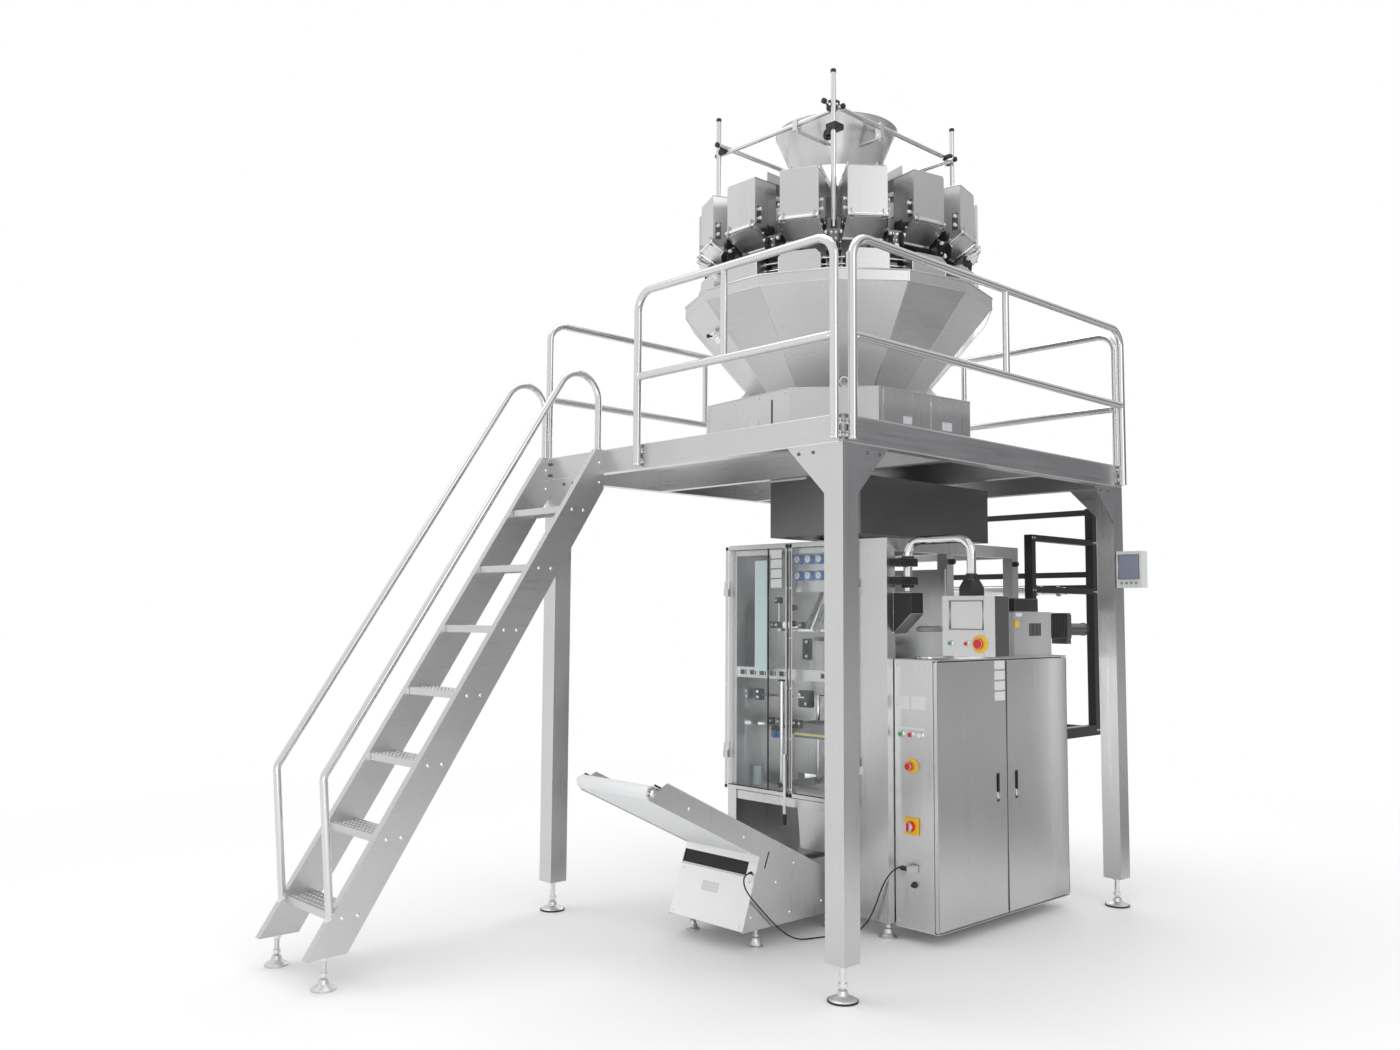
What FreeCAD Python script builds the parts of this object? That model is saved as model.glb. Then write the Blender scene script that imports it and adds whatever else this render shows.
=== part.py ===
"""Multihead weigher packing line: weigher on a work platform over a vertical bagging machine.

Millimetres. X runs to the right seen from the front, Y to the back, Z up. The pieces are drawn
about the vertical axis of the weigher, and saved with the origin on the floor under the levelling
foot of the front right leg. Every part is one STEP file.
"""
import FreeCAD, Part
import math
import os

V = FreeCAD.Vector
os.makedirs("parts", exist_ok=True)

# ---- platform -------------------------------------------------------------------------
PLATFORM_X = 2050.0           # outer width over the beams
PLATFORM_Y = 2390.0           # outer depth over the beams
DECK_TOP = 2365.0
DECK_PLATE = 6.0
BEAM_DEPTH = 111.0
BEAM_WIDTH = 60.0
LEG = 100.0                   # square leg
LEG_FOOT_Z = 149.0            # underside of a leg, above its levelling foot
JOIST_Y = 395.0               # joists either side of the middle
JOIST_WIDTH = 50.0
GUSSET = 205.0
GUSSET_THICK = 8.0
OUTLET_R = 165.0              # hole through deck and plinth for the product
ORIGIN = ((PLATFORM_X - LEG) / 2, -(PLATFORM_Y - LEG) / 2)   # foot of the front right leg

# ---- guard rails ----------------------------------------------------------------------
RAIL_R = 19.0
RAIL_OUT = 25.0               # rail axis outside the beam face
RAIL_TOP = 3115.0
RAIL_MID = 2695.0
RAIL_FOOT = DECK_TOP - 103    # lower end of the uprights, beside the beam
RAIL_BEND = 95.0
FRONT_RAIL = (-245.0, 1002.0, 355.0)      # first upright, last upright, middle stub
SIDE_RAIL = (-1160.0, 1160.0, 5.0)
REAR_RAIL = (-985.0, 985.0, 0.0)

# ---- stair ----------------------------------------------------------------------------
STAIR_X = (-1005.0, -550.0)   # middle of each stringer
STRINGER_WIDE = 40.0
STRINGER_DEEP = 150.0
STAIR_ANGLE = 57.0
STAIR_HEAD_RUN = 50.0         # level run at the head of the stringer
STAIR_FOOT_Z = 130.0
TREADS = 7
TREAD_DEEP = 140.0
TREAD_HIGH = 32.0
TREAD_SHEET = 4.0
HANDRAIL_R = 17.0
HANDRAIL_TOP = 2740.0
HANDRAIL_ARCH = 125.0

# ---- weigher --------------------------------------------------------------------------
HEADS = 14
PITCH = 360.0 / HEADS
FIRST_HEAD = -90.0            # one head looks straight to the front
PLINTH_HALF = 640.0
PLINTH_CHAMFER = 305.0
PLINTH_TURN = -PITCH / 4.0    # the plinth corner stands under a gap between two heads
PLINTH_TOP = 2650.0
FUNNEL_RIM_R = 833.0          # over the corners of the 14-sided rim
FUNNEL_RIM_TOP = 3200.0
FUNNEL_BAND = 55.0
FUNNEL_FOOT_R = 413.0
FUNNEL_SHEET = 5.0
DRUM_R = 440.0
DRUM_Z = (3262.0, 3690.0)
FEED_OUT_R = 750.0
FEED_IN_R = 592.0
FEED_WIDE = 185.0
FEED_TOP = 3735.0
PIN_CLEAR = 0.3               # radial clearance of hinge pins in their eyes
FEED_LIP_Z = 3495.0           # lower edge of the outer wall, where the gate hangs
FEED_LOW_Z = 3425.0           # lower edge of the inner wall
SHEET = 3.0
GATE_GAP = 6.0
GATE_PIN_R = 5.0
GATE_DROP = 10.0              # pin below the lip of the outer wall
GATE_PIN = (FEED_OUT_R + 2 * GATE_PIN_R, FEED_LIP_Z - GATE_DROP)     # radius and height
GATE_LONG = 152.0
GATE_LIP = 10.0               # fold along the free edge of the flap
EAR_SIDE = 79.0               # ears of the hopper, either side of its middle
WEIGH_OUT_R = 750.0
WEIGH_IN_R = 560.0
WEIGH_WIDE = 170.0
WEIGH_COVER = 215.0           # width of the folded cover in front of each weigh hopper
WEIGH_Z = (3110.0, 3322.0)
COVER_LOW_Z = 3212.0
COVER_FOLD = 15.0
DRIVE_R = (560.0, 690.0)      # the drive widens outwards between these radii
DRIVE_HALF = (24.0, 38.0)
DRIVE_LOW_Z = 3200.0
PAN_Z = 3748.0
CONE_TOP_R = 335.0
CONE_HEIGHT = 245.0
CONE_LOW_R = 232.0
CONE_LOW_Z = 3945.0
POLE_R = 13.0
POLE_RING = 656.0
POLE_FOOT_Z = 3440.0
ROD_Z = 4085.0
POLE_OVER = 180.0             # poles end this much over the rods
CLAMP_HALF = 24.0
HANGER_Z = 4033.0             # underside of the flat bars that carry the infeed cone
HANGER_SIDE = (141.0, -102.0) # sideways place on the cross rods and on the long rods
SENSOR_Z = 3970.0

# ---- bagging machine ------------------------------------------------------------------
BAG_X = (-530.0, 560.0)
BAG_FRONT = -296.0
BAG_REAR = 890.0
BAG_Z = (75.0, 1920.0)
POST = 60.0
MID_POST_Y = 235.0
SIDE_PANEL_X = 377.0          # left edge of the solid panel right of the doors
PANEL = 4.0
DOOR_Z = (600.0, 1912.0)
DOOR_THICK = 20.0
DOOR_GAP = 9.0
DOOR_MEET_X = -60.0
HINGE_PIN_R = 4.0
HINGE_OUT = 12.0              # hinge axis outside the edge of the door
HINGE_HEIGHTS = (800.0, 1680.0)
TUBE_R = 72.0
TUBE_SHEET = 3.0
TUBE_Z = (1010.0, 1850.0)
MOUTH_R = 130.0
MOUTH_HIGH = 75.0
MOUTH_SHELF = (16.0, 8.0)     # height over the foot of the mouth, and thickness
JAW_HALF = 230.0
JAW_Z = (880.0, 960.0)
JAW_DEEP = 80.0
JAW_GAP = 12.0
JAW_ARM = 30.0
PULL_BELT_Z = (1110.0, 1400.0)
PULL_BELT_WIDE = 60.0
BAG_CHUTE_Z = (300.0, 620.0)
BAG_CHUTE_HALF = 170.0
COLLAR_Z = (1465.0, 1680.0)   # forming shoulder, from its plate to its edge
COLLAR_R = (185.0, 84.0)
PLATE_THICK = 12.0
GAUGE_BOARD = (-70.0, 372.0, 1660.0)      # left, right, lower edge
GAUGE_BACK = 40.0             # face of the board behind the front of the frame
GAUGE_R = 24.0
GAUGE_XS = (-39.0, 35.0, 108.0)
GAUGE_ZS = (1745.0, 1830.0)

# ---- electrical cabinet ---------------------------------------------------------------
CAB_X = (565.0, 811.0)
CAB_Y = (-250.0, 945.0)
CAB_Z = (60.0, 1328.0)
CAB_DOOR_THICK = 20.0
CAB_SHEET = 4.0
PIVOT_R = 3.5
CONTROL_X = 664.0             # column of the stop button and the main switch
BUTTON_XS = (607.0, 662.0, 718.0)
BUTTON_Z = 972.0
STOP_Z = 824.0
SWITCH_Z = 542.0
SOCKET = (686.0, 349.0)       # cable socket, X and Z
SOCKET_OUT = 45.0             # axis of its plug in front of the cabinet
GLAND_Z = 270.0
HANDLE_Z = (620.0, 762.0)
HANDLE_OFF = 85.0             # handles either side of the seam of the doors
JAR = (645.0, -70.0)

# ---- operator panel on its swing pipe -------------------------------------------------
ARM_X = 597.0
ARM_Y = -180.0
ARM_R = 22.0
ARM_TOP = 1905.0
ARM_REACH = 365.0
ARM_BEND = 75.0
ARM_FOOT = 1660.0
ARM_CLAMPS = (1690.0, 1780.0)  # underside of the two clamps that hold the pipe
CLAMP_HIGH = 40.0
HMI_SIZE = (284.0, 118.0, 280.0)
HMI_LOW = 1353.0
SCREEN = (-105.0, 82.0, 120.0, 262.0)     # left, right, low, high from middle and underside
HMI_BUTTONS = (-96.0, -8.0)
HMI_STOP = 63.0
HMI_CONTROL_HIGH = 58.0

# ---- film drive -----------------------------------------------------------------------
DRIVE_BOX = (180.0, 370.0, 234.0)
DRIVE_AT = (600.0, 480.0)     # left and front side on top of the cabinet
TERMINAL_BOX = (125.0, 225.0, 70.0)

# ---- take-off conveyor ----------------------------------------------------------------
CONV_HALF = 250.0
CONV_LOW = (-60.0, 68.0)      # lower roller axis (Y, Z)
CONV_HIGH = (-1530.0, 774.0)  # upper roller axis (Y, Z)
ROLLER_R = 28.0
BELT = 4.0
BASE_TOP = 330.0              # top of the closed base, where the cable comes out
OUTLET_BLOCK = (220.0, -880.0)            # cable outlet on the base, X and its front face

# ---- under the deck -------------------------------------------------------------------
CHUTE_X = (-215.0, 400.0)
CHUTE_Y = (-300.0, 842.0)
CHUTE_LOW = 1950.0
CHUTE_SHEET = 4.0
CHUTE_MOUTH_R = 110.0

# ---- film rack ------------------------------------------------------------------------
RACK_BAR = 50.0
RACK_REAR = 1790.0            # outer face of the rear uprights
RACK_TOP = 2200.0
RACK_FRONT_UPRIGHT = 1040.0
RACK_SILL = (830.0, 890.0)
RACK_RAILS = ((1970.0, 2005.0), (1675.0, 1710.0))
RACK_CROSS_ZS = (845.0, 1700.0, 1780.0, 2160.0)
RACK_ROLL_R = 22.0
RACK_ROLLS = ((1240.0, 1692.0), (1500.0, 1692.0), (1380.0, 860.0))

# ---- signal cable between conveyor and cabinet ----------------------------------------
CABLE_R = 3.5


# ---- helpers --------------------------------------------------------------------------
def box(x0, x1, y0, y1, z0, z1):
    return Part.makeBox(x1 - x0, y1 - y0, z1 - z0, V(x0, y0, z0))


def cyl(r, start, end):
    a, b = V(*start), V(*end)
    return Part.makeCylinder(r, (b - a).Length, a, b - a)


def prism(points, direction):
    """Solid from a closed flat outline of 3-D points, pushed along a direction."""
    return flat_face(points).extrude(V(*direction))


def side_prism(points, x0, x1):
    """Outline in (Y, Z), pushed from x0 to x1."""
    return prism([(x0, y, z) for y, z in points], (x1 - x0, 0, 0))


def fuse(shapes):
    out = shapes[0]
    if len(shapes) > 1:
        out = out.multiFuse(shapes[1:])
    return out.removeSplitter()


def turned(shape, degrees):
    s = shape.copy()
    s.rotate(V(0, 0, 0), V(0, 0, 1), degrees)
    return s


def bent_path(points, radii):
    """Wire through points, rounded at each inner point with the radius given there."""
    pts = [V(*p) for p in points]
    edges, last = [], pts[0]
    for i in range(1, len(pts) - 1):
        a, b = (pts[i - 1] - pts[i]).normalize(), (pts[i + 1] - pts[i]).normalize()
        half = a.getAngle(b) / 2.0
        r = radii[i - 1]
        reach = r / math.tan(half)
        p, q = pts[i] + a * reach, pts[i] + b * reach
        mid = pts[i] + (a + b).normalize() * (r / math.sin(half) - r)
        edges.append(Part.makeLine(last, p))
        edges.append(Part.Arc(p, mid, q).toShape())
        last = q
    edges.append(Part.makeLine(last, pts[-1]))
    return Part.Wire(edges)


def tube(points, radii, r):
    wire = bent_path(points, radii)
    start = V(*points[0])
    ring = Part.Wire([Part.makeCircle(r, start, V(*points[1]) - start)])
    return wire.makePipeShell([ring], True, True)


def polygon_ring(sides, r, z, turn=0.0):
    """Corners of a regular polygon; r is the radius over the corners."""
    step = 360.0 / sides
    return [(r * math.cos(math.radians(turn + k * step)),
             r * math.sin(math.radians(turn + k * step)), z) for k in range(sides)]


def flat_face(points):
    pts = [V(*p) for p in points]
    return Part.Face(Part.makePolygon(pts + [pts[0]]))


def frustum(low, high):
    """Solid with flat sides between two rings that have the same number of corners."""
    n = len(low)
    sides = [flat_face([low[i], low[(i + 1) % n], high[(i + 1) % n], high[i]]) for i in range(n)]
    solid = Part.makeSolid(Part.makeShell([flat_face(low), flat_face(high)] + sides))
    if solid.Volume < 0:
        solid.reverse()
    return solid


def save(name, solids):
    solids = solids if isinstance(solids, list) else [solids]
    flat = [s.copy() for shape in solids for s in shape.Solids]
    for s in flat:
        s.translate(V(-ORIGIN[0], -ORIGIN[1], 0))
    shape = flat[0] if len(flat) == 1 else Part.makeCompound(flat)
    shape.exportStep("parts/%s.step" % name)
    print(name, len(flat), "solids", all(s.isValid() for s in flat))


def foot(x, y, top, disc_r=60.0, stem_r=12.0):
    """Levelling foot: disc, bell and screw stem in one turned piece."""
    bell = stem_r + 12.0
    outline = [(0, 0), (disc_r, 0), (disc_r, 8), (disc_r - 8, 14), (bell, 26), (bell - 4, 44),
               (stem_r, 48), (stem_r, top), (0, top)]
    face = Part.Face(Part.makePolygon([V(x + r, y, z) for r, z in outline + [outline[0]]]))
    return face.revolve(V(x, y, 0), V(0, 0, 1), 360)


def hinge(x, y, z, back, side):
    """Lift-off hinge. Returns the fixed half with its pin, and the half on the door.

    back is the Y of the face that carries the fixed half; side is +1 where the door lies
    towards +X of the axis.
    """
    half, r = 40.0, HINGE_PIN_R + 5
    a, b = sorted((x - side * r, x + side * (HINGE_OUT + 22)))
    c, d = sorted((x - side * r, x + side * 4))
    fixed = fuse([cyl(r, (x, y, z - half), (x, y, z)), cyl(HINGE_PIN_R, (x, y, z), (x, y, z + half)),
                  box(c, d, y, back, z - half, z), box(a, b, back - 4, back, z - half, z)])
    e, f = sorted((x, x + side * HINGE_OUT))
    low = z + PIN_CLEAR
    moving = fuse([cyl(r, (x, y, low), (x, y, z + half)), box(e, f, y - 7, y + 7, low, z + half)])
    return fixed, moving.cut(cyl(HINGE_PIN_R + PIN_CLEAR, (x, y, z - 1), (x, y, z + half + 1)))


# ---- platform -------------------------------------------------------------------------
HX, HY = PLATFORM_X / 2.0, PLATFORM_Y / 2.0
BEAM_TOP = DECK_TOP - DECK_PLATE
BEAM_LOW = BEAM_TOP - BEAM_DEPTH
CORNERS = [(sx, sy) for sx in (1, -1) for sy in (-1, 1)]


def platform():
    legs = [box(min(sx * HX, sx * (HX - LEG)), max(sx * HX, sx * (HX - LEG)),
                min(sy * HY, sy * (HY - LEG)), max(sy * HY, sy * (HY - LEG)),
                LEG_FOOT_Z, BEAM_LOW) for sx, sy in CORNERS]
    save("platform_legs", legs)

    ring = box(-HX, HX, -HY, HY, BEAM_LOW, BEAM_TOP).cut(
        box(-HX + BEAM_WIDTH, HX - BEAM_WIDTH, -HY + BEAM_WIDTH, HY - BEAM_WIDTH,
            BEAM_LOW - 1, BEAM_TOP + 1))
    half = JOIST_WIDTH / 2.0
    joists = [box(-HX + 30, HX - 30, y - half, y + half, BEAM_LOW, BEAM_TOP)
              for y in (-JOIST_Y, JOIST_Y)]
    plates = []
    for sx, sy in CORNERS:
        inner_x, inner_y = HX - LEG, HY - LEG
        y0 = sy * HY
        plates.append(prism([(sx * inner_x, y0, BEAM_LOW), (sx * (inner_x - GUSSET), y0, BEAM_LOW),
                             (sx * inner_x, y0, BEAM_LOW - GUSSET)], (0, -sy * GUSSET_THICK, 0)))
        x0 = sx * HX
        plates.append(prism([(x0, sy * inner_y, BEAM_LOW), (x0, sy * (inner_y - GUSSET), BEAM_LOW),
                             (x0, sy * inner_y, BEAM_LOW - GUSSET)], (-sx * GUSSET_THICK, 0, 0)))
    save("platform_frame", fuse([ring] + joists + plates))

    deck = box(-HX, HX, -HY, HY, BEAM_TOP, DECK_TOP).cut(
        cyl(OUTLET_R, (0, 0, BEAM_TOP - 1), (0, 0, DECK_TOP + 1)))
    save("deck_plate", deck)


def guard_rail(along, offset, first, last, stub):
    """One welded panel. along 'x' or 'y'; offset is the other coordinate of its plane."""
    def at(t, z, out=0.0):
        side = offset + math.copysign(out, -offset)
        return (t, side, z) if along == "x" else (side, t, z)
    loop = tube([at(first, RAIL_FOOT), at(first, RAIL_TOP), at(last, RAIL_TOP),
                 at(last, RAIL_FOOT)], [RAIL_BEND, RAIL_BEND], RAIL_R)
    pieces = [loop, cyl(RAIL_R, at(first, RAIL_MID), at(last, RAIL_MID)),
              cyl(RAIL_R - 3, at(stub, RAIL_MID), at(stub, RAIL_TOP))]
    for t in (first, last):
        for z in (RAIL_FOOT + 22, RAIL_FOOT + 72):
            pieces.append(cyl(11, at(t, z), at(t, z, RAIL_OUT)))
    return fuse(pieces)


def guard_rails():
    front, side = -(HY + RAIL_OUT), HX + RAIL_OUT
    save("guard_rails", [guard_rail("x", front, *FRONT_RAIL), guard_rail("y", side, *SIDE_RAIL),
                         guard_rail("y", -side, *SIDE_RAIL), guard_rail("x", -front, *REAR_RAIL)])


TAN = math.tan(math.radians(STAIR_ANGLE))
HEAD_Y = -HY - STAIR_HEAD_RUN           # where the sloping top edge begins


def stair_edge_y(z):
    """Y of the sloping top edge of the stringers at a height."""
    return HEAD_Y - (DECK_TOP - z) / TAN


def stair():
    drop = STRINGER_DEEP / math.cos(math.radians(STAIR_ANGLE))
    low_run = STRINGER_DEEP / math.sin(math.radians(STAIR_ANGLE))
    foot_y = stair_edge_y(STAIR_FOOT_Z)
    end_z = DECK_TOP + STAIR_HEAD_RUN * TAN - drop
    outline = [(foot_y, STAIR_FOOT_Z), (HEAD_Y, DECK_TOP), (-HY, DECK_TOP), (-HY, end_z),
               (foot_y + low_run, STAIR_FOOT_Z)]
    half = STRINGER_WIDE / 2.0
    save("stair_stringers", [side_prism(outline, x - half, x + half) for x in STAIR_X])

    rise = DECK_TOP / (TREADS + 1)
    treads = []
    for k in range(1, TREADS + 1):
        z = k * rise
        y = stair_edge_y(z) + 12
        plank = box(STAIR_X[0] + half, STAIR_X[1] - half, y, y + TREAD_DEEP, z - TREAD_HIGH, z)
        treads.append(plank.cut(box(STAIR_X[0] + half - 1, STAIR_X[1] - half + 1, y + TREAD_SHEET,
                                    y + TREAD_DEEP - TREAD_SHEET, z - TREAD_HIGH - 1,
                                    z - TREAD_SHEET)))
    save("stair_treads", treads)

    arch_y = -HY - 25 - HANDRAIL_ARCH
    a = math.radians(STAIR_ANGLE)
    rails = []
    for x in STAIR_X:
        # the arch is half a turn less the slope: knee, slope, arch and post in one bent tube
        top_z = HANDRAIL_TOP - HANDRAIL_ARCH
        touch = (arch_y - HANDRAIL_ARCH * math.sin(a), top_z + HANDRAIL_ARCH * math.cos(a))
        knee_y = stair_edge_y(STAIR_FOOT_Z) + 62
        knee_z = touch[1] - (touch[0] - knee_y) * TAN
        foot_post = (knee_y + 44, DECK_TOP - (HEAD_Y - knee_y - 44) * TAN - 6)
        post_y = arch_y + HANDRAIL_ARCH
        crown = V(x, arch_y, HANDRAIL_TOP)
        lower = bent_path([(x,) + foot_post, (x, knee_y, knee_z), (x,) + touch], [45])
        arch = Part.Arc(V(x, *touch), crown, V(x, post_y, top_z)).toShape()
        post = Part.makeLine(V(x, post_y, top_z), V(x, post_y, DECK_TOP))
        wire = Part.Wire(lower.Edges + [arch, post])
        start = V(x, *foot_post)
        ring = Part.Wire([Part.makeCircle(HANDRAIL_R, start, V(x, knee_y, knee_z) - start)])
        rail = wire.makePipeShell([ring], True, True)
        rails.append(Part.makeSolid(rail) if not rail.Solids else rail)
    stringers = [side_prism(outline, x - half, x + half) for x in STAIR_X]
    save("stair_handrails", [r.cut(s) for r, s in zip(rails, stringers)])
    return foot_y + low_run / 2.0


# ---- weigher --------------------------------------------------------------------------
HEAD_ANGLES = [FIRST_HEAD + k * PITCH for k in range(HEADS)]
GAP_ANGLES = [a + PITCH / 2.0 for a in HEAD_ANGLES]
FACET = math.cos(math.radians(PITCH / 2.0))      # corner radius to flat radius
FUNNEL_SLOPE = (FUNNEL_RIM_R - FUNNEL_FOOT_R) / (FUNNEL_RIM_TOP - FUNNEL_BAND - PLINTH_TOP)
CORNER_ANGLES = [PLINTH_TURN - 45 + 90 * k for k in range(4)]


def funnel_solid(inset=0.0):
    turn = GAP_ANGLES[0]
    low = polygon_ring(HEADS, FUNNEL_FOOT_R - inset, PLINTH_TOP, turn)
    knee = polygon_ring(HEADS, FUNNEL_RIM_R - inset, FUNNEL_RIM_TOP - FUNNEL_BAND, turn)
    rim = polygon_ring(HEADS, FUNNEL_RIM_R - inset, FUNNEL_RIM_TOP, turn)
    return fuse([frustum(low, knee), frustum(knee, rim)])


def weigher_stand():
    h, c = PLINTH_HALF, PLINTH_CHAMFER
    pts = [(-h, -h + c), (-h + c, -h), (h - c, -h), (h, -h + c), (h, h - c), (h - c, h),
           (-h + c, h), (-h, h - c)]
    plinth = turned(prism([(x, y, DECK_TOP) for x, y in pts], (0, 0, PLINTH_TOP - DECK_TOP)),
                    PLINTH_TURN)
    plinth = plinth.cut(cyl(OUTLET_R, (0, 0, DECK_TOP - 1), (0, 0, PLINTH_TOP + 1)))
    funnel = funnel_solid()
    brackets = []
    for ang in CORNER_ANGLES:
        plate = prism([(410, -5, PLINTH_TOP), (600, -5, PLINTH_TOP), (480, -5, PLINTH_TOP + 135),
                       (410, -5, PLINTH_TOP + 60)], (0, 10, 0))
        brackets.append(turned(plate, ang).cut(funnel))
    save("weigher_plinth", fuse([plinth] + brackets))

    inner = funnel_solid(FUNNEL_SHEET / FACET)
    save("collecting_funnel", funnel.cut(inner))

    columns = [turned(cyl(35, (300, 0, PLINTH_TOP), (300, 0, DRUM_Z[0])), ang)
               for ang in CORNER_ANGLES]
    turn = GAP_ANGLES[0]
    drum = frustum(polygon_ring(HEADS, DRUM_R, DRUM_Z[0], turn),
                   polygon_ring(HEADS, DRUM_R, DRUM_Z[1], turn))
    save("weigher_body", fuse([drum] + columns))
    return drum


def feed_hopper():
    """Open-topped, open-bottomed sheet hopper lying on the X axis."""
    outline = [(FEED_IN_R, FEED_TOP), (FEED_OUT_R, FEED_TOP), (FEED_OUT_R, FEED_LIP_Z),
               (FEED_IN_R + 40, FEED_LOW_Z), (FEED_IN_R, FEED_LOW_Z + 15)]
    w = FEED_WIDE / 2.0
    body = prism([(r, -w, z) for r, z in outline], (0, 2 * w, 0))
    hollow = prism([(FEED_IN_R + SHEET, -w + SHEET, FEED_TOP + 1),
                    (FEED_OUT_R - SHEET, -w + SHEET, FEED_TOP + 1),
                    (FEED_OUT_R - SHEET, -w + SHEET, FEED_LIP_Z - 30),
                    (FEED_IN_R + SHEET, -w + SHEET, FEED_LOW_Z - 30)], (0, 2 * (w - SHEET), 0))
    hanger = box(DRUM_R * FACET, FEED_IN_R, -20, 20, FEED_LIP_Z + 40, FEED_LIP_Z + 90)
    pin_r, pin_z = GATE_PIN
    ears = [box(FEED_OUT_R, pin_r + 8, s * EAR_SIDE - 3, s * EAR_SIDE + 3, pin_z - 9, pin_z + 32)
            for s in (1, -1)]
    eye = cyl(GATE_PIN_R + PIN_CLEAR, (pin_r, -w, pin_z), (pin_r, w, pin_z))
    return fuse([body.cut(hollow), hanger] + [ear.cut(eye) for ear in ears])


def feed_gate():
    """Bottom flap of a feed hopper, hinged under the lip of its outer wall."""
    slope = math.atan2(FEED_LIP_Z - FEED_LOW_Z, FEED_OUT_R - FEED_IN_R - 40)
    w = FEED_WIDE / 2.0 + GATE_GAP
    pin = GATE_PIN
    down = (math.sin(slope), -math.cos(slope))
    along = (-math.cos(slope), -math.sin(slope))
    length = GATE_LONG

    def pt(s, d):
        """s along the flap from the pin, d below the hopper edge line."""
        return (pin[0] + along[0] * s + down[0] * d, pin[1] + along[1] * s + down[1] * d)
    plate = [pt(0, 2), pt(length, 2), pt(length, 2 + SHEET), pt(0, 2 + SHEET)]
    fold = [pt(length - SHEET, 2), pt(length, 2), pt(length, 2 + GATE_LIP),
            pt(length - SHEET, 2 + GATE_LIP)]
    flap = fuse([prism([(r, -w - SHEET, z) for r, z in outline], (0, 2 * (w + SHEET), 0))
                 for outline in (plate, fold)])
    for s in (1, -1):
        y = s * EAR_SIDE
        flap = flap.cut(box(pin[0] - 15, pin[0] + 10, y - 8, y + 8, pin[1] - 20, pin[1] + 10))
    cheek = [pt(4, -2), pt(length - 6, -18), pt(length, 2), pt(0, 2)]
    cheeks = [prism([(r, y, z) for r, z in cheek], (0, SHEET, 0)) for y in (-w - SHEET, w)]
    rod = cyl(GATE_PIN_R, (pin[0], -w - SHEET, pin[1]), (pin[0], w + SHEET, pin[1]))
    return fuse([flap, rod] + cheeks)


def weigher_heads(drum):
    hopper = feed_hopper()
    save("feed_hoppers", [turned(hopper, a) for a in HEAD_ANGLES])
    gate = feed_gate()
    for k, a in enumerate(HEAD_ANGLES):
        save("feed_gate_%02d" % (k + 1), turned(gate, a))

    w = WEIGH_WIDE / 2.0
    z0, z1 = WEIGH_Z
    wall_r = WEIGH_OUT_R - SHEET
    outline = [(WEIGH_IN_R, z1), (wall_r, z1), (wall_r, z0 + 80), (wall_r - 57, z0),
               (WEIGH_IN_R + 30, z0), (WEIGH_IN_R, z0 + 50)]
    body = prism([(r, -w, z) for r, z in outline], (0, 2 * w, 0))
    hollow = box(WEIGH_IN_R + SHEET, wall_r - SHEET, -w + SHEET, w - SHEET, z0 + 80, z1 + 1)
    arm = box(DRUM_R * FACET, WEIGH_IN_R, -25, 25, z1 - 60, z1 - 10)
    c = WEIGH_COVER / 2.0
    cover = prism([(wall_r, -c, COVER_LOW_Z), (wall_r, c, COVER_LOW_Z), (wall_r, c, z1 - 25),
                   (wall_r, c - 25, z1), (wall_r, 25 - c, z1), (wall_r, -c, z1 - 25)],
                  (SHEET, 0, 0))
    folds = [box(wall_r - COVER_FOLD, wall_r, *sorted((s * c, s * (c - SHEET))), COVER_LOW_Z, z1 - 25)
             for s in (1, -1)]
    weigh = fuse([body.cut(hollow), arm, cover] + folds)
    save("weigh_hoppers", [turned(weigh, a) for a in HEAD_ANGLES])

    (ra, rb), (ha, hb) = DRIVE_R, DRIVE_HALF
    core = DRUM_R * FACET
    side = [(core, POLE_FOOT_Z + 80), (rb - 65, POLE_FOOT_Z + 80), (rb - 65, POLE_FOOT_Z),
            (rb, POLE_FOOT_Z), (rb, DRIVE_LOW_Z + 130), (rb - 40, DRIVE_LOW_Z + 90),
            (rb - 40, DRIVE_LOW_Z), (ra, DRIVE_LOW_Z), (core, DRUM_Z[0] + 15)]
    plan = [(core, -ha), (ra, -ha), (rb, -hb), (rb, hb), (ra, ha), (core, ha)]
    drive = prism([(r, -2 * hb, z) for r, z in side], (0, 4 * hb, 0)).common(
        prism([(r, y, DRIVE_LOW_Z - 1) for r, y in plan], (0, 0, 400)))
    save("hopper_drives", [turned(drive, a).cut(drum) for a in GAP_ANGLES])

    pan = frustum([(262, -48, PAN_Z + 20), (640, -78, PAN_Z), (640, 78, PAN_Z),
                   (262, 48, PAN_Z + 20)],
                  [(262, -48, PAN_Z + 58), (640, -78, PAN_Z + 48), (640, 78, PAN_Z + 48),
                   (262, 48, PAN_Z + 58)])
    inside = frustum([(255, -45, PAN_Z + 24), (650, -75, PAN_Z + 3), (650, 75, PAN_Z + 3),
                      (255, 45, PAN_Z + 24)],
                     [(255, -45, PAN_Z + 75), (650, -75, PAN_Z + 75), (650, 75, PAN_Z + 75),
                      (255, 45, PAN_Z + 75)])
    leg = box(330, 372, -22, 22, DRUM_Z[1], PAN_Z + 17)
    trough = fuse([pan, leg]).cut(inside)
    save("feeder_pans", [turned(trough, a) for a in HEAD_ANGLES])


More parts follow.
